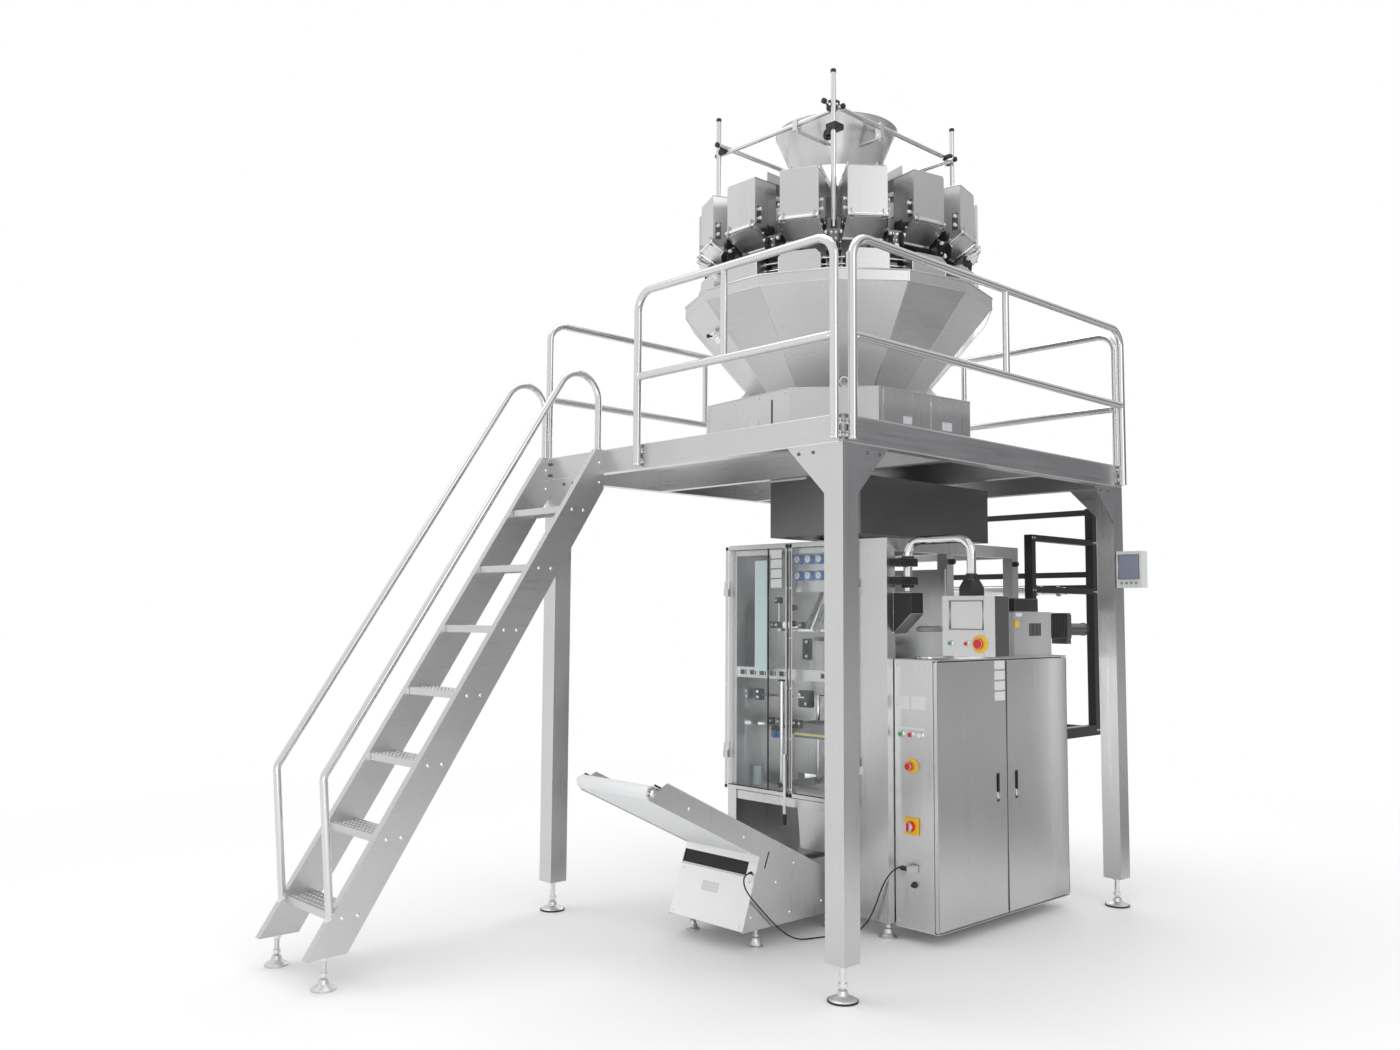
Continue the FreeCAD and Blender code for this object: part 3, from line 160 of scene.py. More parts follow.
def clear_sheet(name, tint, alpha):
    """Clear sheet: mostly lets light through, with a faint tint, smears and a glossy face."""
    mat, tree, bsdf = new_material(name, tint, 0.0, 0.04)
    smear = noise(tree, (1, 1, 0.3), 9.0, 4.0)
    tree.links.new(ramp(tree, smear, tuple(c * 0.9 for c in tint), tint),
                   bsdf.inputs["Base Color"])
    tree.links.new(span(tree, smear, alpha - 0.03, alpha + 0.05), bsdf.inputs["Alpha"])
    tree.links.new(span(tree, smear, 0.03, 0.09), bsdf.inputs["Roughness"])
    return mat


# how the grain is stretched along X, Y and Z
ALONG_Z, LEVEL, ALL_WAYS = (1, 1, 0.02), (0.04, 0.04, 1), (1, 1, 1)
SHEET = steel("steel_sheet", 0.62, ALONG_Z, 0.30)
SHEET_LEVEL = steel("steel_sheet_level", 0.62, LEVEL, 0.30)
SATIN = steel("steel_satin", 0.66, ALL_WAYS, 0.42, 0.04, 500.0)
FLAP = steel("steel_flap", 0.80, LEVEL, 0.34)
# painted light: a lighter copy of the level-brushed steel, tone 0.88 against 0.62, so that the
# brightly lit front of the conveyor renders near white
PAINTED_LIGHT_FRONT_SHEET = steel("steel_front_sheet_painted_light", 0.88, LEVEL, 0.34)
TUBE = steel("steel_tube", 0.70, ALONG_Z, 0.18, 0.03, 300.0, 0.00004)
CHROME = steel("steel_bright", 0.80, ALL_WAYS, 0.10, 0.02, 300.0, 0.00003)
DARK_STEEL = steel("steel_dark", 0.20, ALL_WAYS, 0.36, grain=400.0)
BLACK = plastic("black_plastic", (0.012, 0.012, 0.013))
RUBBER = plastic("black_rubber", (0.02, 0.02, 0.021), 0.7)
BLACK_PAINT = plastic("black_paint", (0.018, 0.018, 0.02), 0.32)
WHITE = plastic("white_plastic", (0.80, 0.81, 0.82), 0.4)
BELT = plastic("belt_white", (0.83, 0.84, 0.85), 0.5)
PLATE = plastic("bare_plate", (0.74, 0.75, 0.76), 0.35)
PALE_BLUE = plastic("pale_blue", (0.60, 0.72, 0.76), 0.35)
GREY = plastic("grey_plastic", (0.30, 0.31, 0.32), 0.4)
SCREEN_GLASS = plastic("screen_glass", (0.33, 0.34, 0.35), 0.16)
DISPLAY_GLASS = plastic("display_glass", (0.26, 0.28, 0.36), 0.2)
DARK_GREY = plastic("dark_grey_paint", (0.07, 0.07, 0.074), 0.4)
MATT_BLACK = plastic("matt_black", (0.016, 0.016, 0.017), 0.62)
RED = plastic("red_plastic", (0.62, 0.02, 0.015), 0.3)
YELLOW = plastic("yellow_plastic", (0.85, 0.52, 0.02), 0.35)
PALE_YELLOW = plastic("yellow_strip", (0.78, 0.76, 0.30), 0.4)
GREEN = plastic("green_plastic", (0.03, 0.38, 0.12), 0.3)
BLUE = plastic("blue_plastic", (0.03, 0.16, 0.50), 0.35)
ACRYLIC = clear_sheet("clear_acrylic", (0.82, 0.88, 0.90), 0.06)

LOOKS = {
    SHEET: "platform_legs weigher_plinth weigher_body feed_hoppers bagger_frame bagger_panels "
           "bag_chute cabinet_door_front cabinet_door_rear control_cabinet conveyor_sides "
           "conveyor_base",
    SHEET_LEVEL: "platform_frame stair_stringers collecting_funnel infeed_cone weigh_hoppers",
    SATIN: "deck_plate stair_treads feeder_pans dispersion_cone operator_panel drive_box "
           "levelling_feet",
    PLATE: "display_box",
    TUBE: "guard_rails stair_handrails frame_rods",
    CHROME: "forming_tube forming_collar panel_arm film_rollers conveyor_rollers",
    DARK_STEEL: "hopper_drives seal_jaws drive_motor discharge_chute",
    BLACK: "rod_clamps level_sensor signal_cable",
    BLACK_PAINT: "film_rack",
    BELT: "film_pull_belts conveyor_belt",
    ACRYLIC: "bagger_door_left bagger_door_right filter_jar",
    FLAP: " ".join("feed_gate_%02d" % (k + 1) for k in range(HEADS)),
}


def finish_nodes():
    """Give every node of the CAD its material."""
    for mat, names in LOOKS.items():
        for name in names.split():
            slots = NODES[name].data.materials
            slots.clear()
            slots.append(mat)


# ---- mesh helper ----------------------------------------------------------------------
class Build:
    """Mesh of one piece; swing() turns what is drawn after it about the weigher's axis."""

    def __init__(self):
        self.bm = bmesh.new()
        self.turn = Matrix.Identity(3)

    def swing(self, degrees):
        self.turn = Matrix.Rotation(radians(degrees), 3, "Z")
        return self

    def vert(self, p):
        return self.bm.verts.new(AXIS + self.turn @ Vector(p) / 1000.0)

    def skin(self, rings, closed_along=False):
        """Faces between equal rings of corners, with caps unless the rings come round."""
        n = len(rings[0])
        pairs = list(zip(rings, rings[1:])) + ([(rings[-1], rings[0])] if closed_along else [])
        for a, b in pairs:
            for i in range(n):
                self.bm.faces.new((a[i], a[(i + 1) % n], b[(i + 1) % n], b[i]))
        if not closed_along:
            self.bm.faces.new(rings[0][::-1])
            self.bm.faces.new(rings[-1])

    def lathe(self, profile, start, axis, segments=20):
        """Turned shape from (distance along the axis, radius) pairs."""
        axis = Vector(axis).normalized()
        side = axis.orthogonal().normalized()
        other = axis.cross(side)
        steps = [2 * pi * k / segments for k in range(segments)]
        self.skin([[self.vert(Vector(start) + axis * d
                              + (side * cos(t) + other * sin(t)) * r) for t in steps]
                   for d, r in profile])

    def solid(self, outline, push, soften=1.0):
        """Flat outline pushed along a vector, with softened edges."""
        push = Vector(push)
        low = [self.vert(p) for p in outline]
        high = [self.vert(Vector(p) + push) for p in outline]
        n = len(low)
        faces = [self.bm.faces.new(low[::-1]), self.bm.faces.new(high)]
        faces += [self.bm.faces.new((low[i], low[(i + 1) % n], high[(i + 1) % n], high[i]))
                  for i in range(n)]
        if soften:
            edges = list({e for f in faces for e in f.edges})
            bmesh.ops.bevel(self.bm, geom=edges, offset=soften / 1000.0, segments=2,
                            affect="EDGES", clamp_overlap=True)

    def block(self, lo, hi, soften=1.0):
        (x0, y0, z0), (x1, y1, z1) = lo, hi
        self.solid([(x0, y0, z0), (x1, y0, z0), (x1, y1, z0), (x0, y1, z0)],
                   (0, 0, z1 - z0), soften)

    def sweep(self, points, r, closed=False, segments=10):
        """Round bar through points, mitred at the corners."""
        pts = [Vector(p) for p in points]
        n = len(pts)
        rings = []
        for i, p in enumerate(pts):
            a = pts[i - 1] if i or closed else None
            b = pts[(i + 1) % n] if i < n - 1 or closed else None
            into = (p - a).normalized() if a is not None else (b - p).normalized()
            out = (b - p).normalized() if b is not None else into
            along = (into + out).normalized()
            up = Vector((0, 0, 1)) if abs(along.z) < 0.9 else Vector((1, 0, 0))
            side = along.cross(up).normalized()
            rise = side.cross(along)
            wide = 1.0 / max(0.3, along.dot(into))
            rings.append([self.vert(p + (side * cos(t) * wide + rise * sin(t)) * r)
                          for t in (2 * pi * k / segments for k in range(segments))])
        self.skin(rings, closed)

    def bolt(self, head, axis, size=8.0):
        """Hexagon bolt head on its washer, seated at head and facing along axis."""
        s = size
        self.lathe([(0, s * 1.15), (s * 0.22, s * 1.15), (s * 0.26, s * 1.05)], head, axis, 16)
        seat = Vector(head) + Vector(axis).normalized() * s * 0.24
        self.lathe([(0, s * 0.92), (s * 0.62, s * 0.92), (s * 0.8, s * 0.7)], seat, axis, 6)

    def knob(self, foot, axis, r, high):
        """Round-topped button or grip."""
        self.lathe([(0, r * 0.86), (high * 0.25, r), (high * 0.7, r), (high * 0.9, r * 0.84),
                    (high, r * 0.45)], foot, axis)


def builds(count):
    return [Build() for _ in range(count)]


SMOOTH_UP_TO = radians(32)


def piece(name, build, mat, body=BODY):
    """Mesh object from a build, riding on a body; the slot follows the material."""
    bmesh.ops.recalc_face_normals(build.bm, faces=build.bm.faces)
    mesh = bpy.data.meshes.new(name)
    build.bm.to_mesh(mesh)
    build.bm.free()
    mesh.polygons.foreach_set("use_smooth", [True] * len(mesh.polygons))
    mesh.set_sharp_from_angle(angle=SMOOTH_UP_TO)
    mesh.materials.append(mat)
    obj = bpy.data.objects.new(name, mesh)
    bpy.context.scene.collection.objects.link(obj)
    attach(obj, body)
    return obj


X_AXIS, Y_AXIS, Z_AXIS = Vector((1, 0, 0)), Vector((0, 1, 0)), Vector((0, 0, 1))
FRONT = -Y_AXIS


# ---- signal cable ---------------------------------------------------------------------
CABLE_WIDE = 0.007


def signal_cable():
    """From the base of the conveyor over the floor to the socket on the cabinet.

    The route is seen in the photo but for its depth behind the front leg, which is a guess.
    """
    route = [(220, -880, 345), (220, -921, 345), (230, -955, 328), (249, -964, 290),
             (265, -942, 249), (268, -900, 208), (266, -850, 162), (267, -800, 116),
             (270, -748, 72), (277, -692, 32), (286, -630, 8), (300, -563, 3.7),
             (322, -495, 3.7), (350, -440, 3.7), (382, -392, 6), (418, -362, 22),
             (450, -344, 56), (476, -334, 98), (498, -328, 146), (516, -323, 196),
             (534, -319, 244), (556, -313, 288), (582, -303, 325), (612, -295, 349),
             (644, -295, 349)]
    data = bpy.data.curves.new("signal_cable_run", "CURVE")
    data.dimensions = "3D"
    data.bevel_depth = CABLE_WIDE / 2
    data.bevel_resolution = 4
    data.resolution_u = 12
    data.use_fill_caps = True
    spline = data.splines.new("NURBS")
    spline.points.add(len(route) - 1)
    for point, place in zip(spline.points, route):
        point.co = (*at(*place), 1.0)
    spline.order_u = 3
    spline.use_endpoint_u = True
    data.materials.append(RUBBER)
    cable = bpy.data.objects.new("signal_cable_run", data)
    bpy.context.scene.collection.objects.link(cable)
    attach(cable, BODY)
    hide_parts("signal_cable")

    relief = Build()
    relief.lathe([(-2, 9), (2, 9), (4, 7.5), (14, 6.5), (24, 5), (30, 4.4)], (220, -880, 345),
                 FRONT, 16)
    gland = piece("cable_gland", relief, RUBBER)
    body = Build()
    body.lathe([(0, 4.4), (5, 5.5), (16, 7), (18, 9.5), (20, 12.2), (26, 12.2), (28, 11.4),
                (46, 11.4), (48, 12.6), (58, 12.6), (60, 11.6)], (614, -295, 349), X_AXIS, 20)
    plug = piece("cable_plug", body, BLACK)


# ---- weigher --------------------------------------------------------------------------
GATE_PIN = (760.0, 3485.0)               # radius and height of the hinge
GATE_SLOPE = atan2(70.0, 118.0)
GATE_LONG = 152.0                        # along the flap


def on_gate(s, d):
    """Radius and height on a gate: s along the flap from its pin, d below the hopper."""
    return (GATE_PIN[0] - cos(GATE_SLOPE) * s + sin(GATE_SLOPE) * d,
            GATE_PIN[1] - sin(GATE_SLOPE) * s - cos(GATE_SLOPE) * d)


def across(build, outline, y0, y1, soften=0.8):
    """Outline in radius and height, pushed sideways from y0 to y1."""
    build.solid([(r, y0, z) for r, z in outline], (0, y1 - y0, 0), soften)


def slab(build, side, x0, x1, near, far, z0, z1, soften=1.2):
    """Block on one side of the middle plane: side is +1 or -1, near and far its distances."""
    y0, y1 = sorted((side * near, side * far))
    build.block((x0, y0, z0), (x1, y1, z1), soften)


def gate_trim(k):
    angle = HEAD_ANGLES[k]
    bright = Build().swing(angle)
    r, z = GATE_PIN
    for y0, y1 in ((-100, -86), (-72, 72), (86, 100)):
        bright.lathe([(0, 6), (1.5, 8), (y1 - y0 - 1.5, 8), (y1 - y0, 6)], (r, y0, z),
                     Y_AXIS, 18)
    # hems along the free edge and up both sides of the flap
    across(bright, [on_gate(GATE_LONG - 7, 4), on_gate(GATE_LONG + 1, 4),
                    on_gate(GATE_LONG + 1, 13), on_gate(GATE_LONG - 7, 7)], -103, 103)
    for s in (1, -1):
        y0, y1 = sorted((s * 96, s * 103))
        across(bright, [on_gate(12, 4.2), on_gate(GATE_LONG - 6, 4.2), on_gate(GATE_LONG - 6, 8),
                        on_gate(12, 8)], y0, y1)
    name = "feed_gate_%02d" % (k + 1)
    piece("gate_hem_%02d" % (k + 1), bright, CHROME, name)
    rib = Build().swing(angle)
    across(rib, [on_gate(9, 4.6), on_gate(GATE_LONG - 8, 4.6), on_gate(GATE_LONG - 8, 6.6),
                 on_gate(9, 6.6)], -70, 70)
    for s in (1, -1):
        start = on_gate(70, -8)
        rib.bolt((start[0], s * 101.3, start[1]), (0, s, 0), 5)
    piece("gate_plate_%02d" % (k + 1), rib, FLAP, name)


def hopper_fronts():
    hems, bolts, brackets, fronts = builds(4)
    for angle in HEAD_ANGLES:
        for b in (hems, bolts, brackets, fronts):
            b.swing(angle)
        fronts.block((749.5, -99, 3496), (752, 99, 3728), 0.8)
        for s in (1, -1):
            slab(fronts, s, 738, 751, 97, 99, 3500, 3722, 0.6)
        hems.block((750, -99.5, 3495), (754, 99.5, 3503))
        hems.sweep([(592, -92.5, 3735), (750, -92.5, 3735), (750, 92.5, 3735),
                    (592, 92.5, 3735)], 2.4)
        for s in (1, -1):
            slab(brackets, s, 706, 742, 92.8, 97, 3506, 3592)
            for z in (3526, 3572):
                bolts.lathe([(0, 8), (3, 8), (4, 6), (11, 6), (12, 9), (17, 9), (19, 6)],
                            (726, s * 97, z), (0, s, 0), 14)
        hems.block((749.6, -107, 3210), (752.2, 107, 3217))
        for s in (1, -1):
            hems.sweep([(750, s * 107, 3214), (750, s * 107, 3296), (750, s * 82, 3321)], 1.6,
                       segments=8)
    piece("hopper_front_covers", fronts, SHEET)
    piece("hopper_hems", hems, CHROME)
    piece("hopper_side_bolts", bolts, WHITE)
    piece("hopper_brackets", brackets, DARK_STEEL)


def drive_fittings():
    pins, heads, arms, collars = builds(4)
    for angle in GAP_ANGLES:
        for b in (pins, heads, arms, collars):
            b.swing(angle)
        for z in (3265, 3300):
            pins.lathe([(0, 4), (1, 5), (109, 5), (110, 4)], (668, -55, z), Y_AXIS, 12)
            for s in (1, -1):
                collars.lathe([(0, 5), (1, 8.5), (9, 8.5), (10, 6)], (668, s * 56, z),
                              (0, s, 0), 14)
        # two rocker plates in front of the housing, with their rollers
        for s in (1, -1):
            y0, y1 = sorted((s * 26, s * 31))
            arms.solid([(690, y0, 3336), (724, y0, 3352), (730, y0, 3404), (712, y0, 3428),
                        (690, y0, 3432)], (0, y1 - y0, 0), 1.2)
            collars.lathe([(0, 6), (1, 9), (11, 9), (12, 6)], (716, s * 31.5, 3412), (0, s, 0),
                          14)
            heads.bolt((708, s * 31.2, 3362), (0, s, 0), 6)
            slab(arms, s, 640, 690, 37, 41, 3452, 3500)
            heads.bolt((664, s * 41, 3476), (0, s, 0), 6)
        for z in (3420, 3390):
            heads.bolt((690, 12, z), X_AXIS, 6)
            heads.bolt((690, -12, z), X_AXIS, 6)
        heads.bolt((650, 0, 3262), X_AXIS, 7)
        arms.block((690, -22, 3340), (697, 22, 3372), 1.5)
        collars.lathe([(0, 10), (2, 13), (14, 13), (16, 10)], (697, 0, 3356), X_AXIS, 18)
    piece("drive_pins", pins, CHROME)
    piece("drive_bolts", heads, CHROME)
    piece("drive_rockers", arms, BLACK_PAINT)
    piece("drive_rollers", collars, WHITE)


def polar(radius, angle, z):
    return (radius * cos(radians(angle)), radius * sin(radians(angle)), z)


def ring_points(radius, z):
    """Corners of the faceted funnel, one under each gap."""
    return [polar(radius, angle, z) for angle in GAP_ANGLES]


FUNNEL_FOOT = (413.0, 2650.0)            # radius over the corners, and height
FUNNEL_SPREAD = 420.0 / 495.0            # radius gained per height


def funnel_fittings():
    seams = Build()
    seams.sweep(ring_points(833, 3200), 4.5, True)
    seams.sweep(ring_points(834, 3145), 1.6, True, 8)
    for top, low in zip(ring_points(833.6, 3145), ring_points(413.6, 2652)):
        seams.sweep([top, low], 1.5, segments=8)
    piece("funnel_seams", seams, SHEET_LEVEL)

    def radius_at(z):
        return FUNNEL_FOOT[0] + (z - FUNNEL_FOOT[1]) * FUNNEL_SPREAD

    def corner(angle, z):
        return polar(min(833.0, radius_at(z)) + 1.0, angle, z)
    strip = Build()
    strip.sweep([corner(GAP_ANGLES[1], z) for z in (3197, 3145, 3012)], 4.2)
    piece("funnel_black_seam", strip, RUBBER)
    bright = Build()
    bright.sweep([corner(GAP_ANGLES[2], z) for z in (3197, 3145, 2660)], 3.4)
    piece("funnel_bright_seam", bright, CHROME)
    # catch that holds the removable front of the funnel, and the washing nozzle at its foot
    catch, dark, white = builds(3)
    flat = cos(radians(PITCH / 2))
    for angle in (HEAD_ANGLES[13], HEAD_ANGLES[6]):
        for b in (catch, dark):
            b.swing(angle)
        z = 3003
        r = radius_at(z) * flat
        catch.solid([(r - 22, -34, z - 28), (r + 22, -34, z + 26), (r + 27, -34, z + 22),
                     (r - 16, -34, z - 30)], (0, 68, 0), 1.5)
        catch.lathe([(0, 9), (30, 9), (32, 7)], (r + 20, -15, z), Y_AXIS, 16)
        dark.lathe([(0, 5), (26, 5), (28, 10), (40, 10), (42, 7)], (r + 14, 0, z + 4), X_AXIS, 16)
    catch.swing(-46)
    dark.swing(0)
    white.swing(-46)
    r = radius_at(2716) * flat - 6
    catch.lathe([(0, 24), (34, 24), (34, 17), (6, 17)], (r, 0, 2716), X_AXIS, 28)
    white.lathe([(30, 24.6), (31, 27), (38, 27), (39, 24.6), (39, 18), (30, 18)], (r, 0, 2716),
                X_AXIS, 28)
    piece("funnel_catches", catch, CHROME)
    piece("funnel_catch_knobs", dark, BLACK)
    piece("funnel_nozzle_ring", white, WHITE)


def plinth_fittings():
    turn = -PITCH / 4.0
    slots, strips, plates = builds(3)
    for b, items in ((slots, [(-90, 202, 2481, 2607, 7)]),
                     (strips, [(0, -306, 2395, 2640, 6), (0, 37, 2395, 2640, 6),
                               (-90, -318, 2395, 2640, 6), (90, 0, 2395, 2640, 6),
                               (180, 0, 2395, 2640, 6)])):
        for face, u, z0, z1, wide in items:
            b.swing(turn + face)
            b.block((639.5, u - wide / 2, z0), (643, u + wide / 2, z1), 0.8)
    for face, u0, u1, z0, z1 in ((0, -167, -103, 2482, 2520), (0, 118, 193, 2476, 2520),
                                 (-90, 28, 96, 2482, 2520)):
        plates.swing(turn + face)
        plates.block((639.5, u0, z0), (642, u1, z1), 0.8)
    piece("plinth_slot", slots, RUBBER)
    piece("plinth_strips", strips, CHROME)
    piece("plinth_bare_plates", plates, PLATE)
    rim = Build()
    h, c = 640.6, 305.0
    corners = [(-h, -h + c), (-h + c, -h), (h - c, -h), (h, -h + c), (h, h - c), (h - c, h),
               (-h + c, h), (-h, h - c)]
    rim.swing(turn)
    rim.sweep([(x, y, 2648) for x, y in corners], 2.4, True)
    rim.sweep([(x, y, 2370) for x, y in corners], 3.5, True)
    screws = Build()
    for face in range(8):
        screws.swing(turn + face * 45)
        reach = 641 if face % 2 == 0 else (h - c / 2) * sqrt(2) - 0.4
        side = 300 if face % 2 == 0 else 175
        for u in (-side, -side / 3, side / 3, side):
            for z in (2394, 2628):
                screws.lathe([(0, 6), (1.5, 6), (3.2, 3.5)], (reach - 0.5, u, z), X_AXIS, 12)
    piece("plinth_rim", rim, SHEET_LEVEL)
    piece("plinth_screws", screws, SATIN)


def top_fittings():
    caps, bolts = builds(2)
    poles = [(sx * 409, sy * 513) for sx in (1, -1) for sy in (1, -1)]
    for x, y in poles:
        caps.lathe([(0, 14.2), (16, 14.2), (19, 12), (20, 8)], (x, y, 4247), Z_AXIS, 20)
        caps.lathe([(0, 20), (10, 20), (16, 15)], (x, y, 3441), Z_AXIS, 20)
        sx, sy = copysign(1, x), copysign(1, y)
        bolts.bolt((x * 0.97 + sx * 24, y * 0.975, 4085), (sx, 0, 0), 6)
        bolts.bolt((x * 0.968, y * 0.975 + sy * 24, 4085), (0, sy, 0), 6)
    for s in (1, -1):
        for e in (1, -1):
            caps.lathe([(0, 14.2), (12, 14.2), (14, 12)], (s * 381, e * 546, 4099), (0, e, 0), 20)
            caps.lathe([(0, 14.2), (12, 14.2), (14, 12)], (e * 442, s * 485, 4071), (e, 0, 0), 20)
    piece("rod_caps", caps, BLACK)
    rim = Build()
    steps = 56
    for r, z, thick in ((334, 4189, 3.2), (231.5, 3946.5, 2.4)):
        rim.sweep([polar(r, 360 * k / steps, z) for k in range(steps)], thick, True, 8)
    rim.swing(-34)
    rim.sweep([(232.6, 0, 3948), (335.6, 0, 4188)], 1.6, segments=8)
    piece("cone_hems", rim, SHEET_LEVEL)
    for x, y in ((141, -485), (-141, 485), (381, -102), (-381, 102)):
        bolts.bolt((x, y, 4033), (0, 0, -1), 8)
        for dx in (-1, 1):
            side = (dx, 0, 0) if abs(y) > abs(x) else (0, dx, 0)
            bolts.bolt((x + side[0] * 15, y + side[1] * 15, 4050), side, 6)
    lens = Build()
    place, aim = Vector((409 - 88, -513 + 62, 3970)), Vector((-18, 22, 0)).normalized()
    lens.lathe([(-2, 24), (0, 25), (6, 25), (8, 22), (8, 16), (4, 14)], place, aim, 24)
    piece("sensor_hood", lens, BLACK)
    piece("frame_bolts", bolts, CHROME)
    tip = Build()
    tip.lathe([(0, 10), (2, 12), (10, 12), (16, 9), (18, 4)], (0, 0, 3942), Z_AXIS, 20)
    for k in range(HEADS):
        tip.swing(GAP_ANGLES[k])
        tip.solid([(258, -6, 3812), (286, -10, 3806), (286, 10, 3806), (258, 6, 3812)],
                  (0, 0, 12), 1)
    piece("cone_tip", tip, SATIN)


# ---- platform and stair ---------------------------------------------------------------
HALF_X, HALF_Y, DECK_TOP = 1025.0, 1195.0, 2365.0
BEAM_LOW = 2248.0
RAIL_OUT = 25.0                          # from the beam's face to the rail's middle


def platform_fittings():
    bolts, nuts, hems, pads = builds(4)
    for sx in (1, -1):
        for sy in (-1, 1):
            # gusset bolts near the beam, on both faces of each corner
            for off in (60, 140):
                bolts.bolt((sx * (HALF_X - 100 - off), sy * HALF_Y, BEAM_LOW - 30), (0, sy, 0), 7)
                bolts.bolt((sx * HALF_X, sy * (HALF_Y - 100 - off), BEAM_LOW - 30), (sx, 0, 0), 7)
            for z in (BEAM_LOW + 25, BEAM_LOW + 85):
                bolts.bolt((sx * (HALF_X - 50), sy * HALF_Y, z), (0, sy, 0), 7)
                bolts.bolt((sx * HALF_X, sy * (HALF_Y - 50), z), (sx, 0, 0), 7)
            x, y = sx * (HALF_X - 50), sy * (HALF_Y - 50)
            nuts.lathe([(0, 20), (1, 21), (16, 21), (17, 20)], (x, y, 56), Z_AXIS, 6)
            nuts.lathe([(0, 20), (1, 21), (12, 21), (13, 20)], (x, y, 136), Z_AXIS, 6)
            nuts.lathe([(0, 13.2), (62, 13.2)], (x, y, 73), Z_AXIS, 16)
            pads.lathe([(0, 62), (2, 63.5), (7, 63.5), (8, 61)], (x, y, 0.2), Z_AXIS, 32)
    # welded rim of the deck plate and the fold under the beams
    out_x, out_y = HALF_X - 2, HALF_Y - 2
    for z, r in ((DECK_TOP - 1.5, 3.6), (BEAM_LOW + 2.5, 3.2)):
        hems.sweep([(-out_x, -out_y, z), (out_x, -out_y, z), (out_x, out_y, z),
                    (-out_x, out_y, z)], r, True, 8)
    for s in (1, -1):
        for y in (-395, 395):
            hems.block((s * (HALF_X - 62) - 3, y - 34, BEAM_LOW + 4),
                       (s * (HALF_X - 62) + 3, y + 34, DECK_TOP - 10), 1)
    piece("frame_bolts_dark", bolts, DARK_STEEL)
    piece("foot_nuts", nuts, CHROME)
    piece("foot_pads", pads, RUBBER)
    piece("deck_hems", hems, SHEET_LEVEL)


def rail_fittings():
    plates, bolts, collars = builds(3)
    posts = [(x, -HALF_Y, 0, -1) for x in (-245, 1002)] + [(x, HALF_Y, 0, 1) for x in (-985, 985)]
    posts += [(s * HALF_X, y, s, 0) for s in (1, -1) for y in (-1160, 1160)]
    for x, y, nx, ny in posts:
        for z in (2284, 2334):
            side = Vector((ny, nx, 0))
            foot_at = Vector((x, y, z))
            collars.lathe([(0, 17), (3, 17), (5, 13.5)], foot_at, (nx, ny, 0), 20)
            collars.lathe([(0, 13.5), (4, 17), (8, 17)], foot_at + Vector((nx, ny, 0)) * 3.0,
                          (nx, ny, 0), 20)
            for e in (1, -1):
                bolts.bolt(foot_at + side * 23 * e, (nx, ny, 0), 5)
        wx, wy = abs(ny) * 32, abs(nx) * 32
        plates.solid([(x - wx, y - wy, 2268), (x + wx, y + wy, 2268), (x + wx, y + wy, 2350),
                      (x - wx, y - wy, 2350)], (nx * 2.5, ny * 2.5, 0), 0.8)
        out = Vector((x + nx * RAIL_OUT, y + ny * RAIL_OUT, 2258))
        collars.lathe([(0, 17), (2, 20), (9, 20), (10, 19)], out, Z_AXIS, 24)
    for x, y, z, axis in ((-245, -1220, 2695, (1, 0, 0)), (1002, -1220, 2695, (-1, 0, 0)),
                          (1050, -1160, 2695, (0, 1, 0)), (1050, 1160, 2695, (0, -1, 0)),
                          (-1050, -1160, 2695, (0, 1, 0)), (-1050, 1160, 2695, (0, -1, 0)),
                          (-985, 1220, 2695, (1, 0, 0)), (985, 1220, 2695, (-1, 0, 0))):
        start = Vector((x, y, z)) + Vector(axis) * 17.5
        collars.lathe([(0, 21), (3, 20.4), (6, 19.4)], start, axis, 24)
    piece("rail_foot_plates", plates, SATIN)
    piece("rail_foot_bolts", bolts, DARK_STEEL)
    piece("rail_collars", collars, CHROME)


STAIR_X = (-1005.0, -550.0)
STAIR_SLOPE = radians(57.0)
STAIR_TAN = tan(STAIR_SLOPE)
STAIR_HEAD = -HALF_Y - 50                # where the stair's line meets the deck


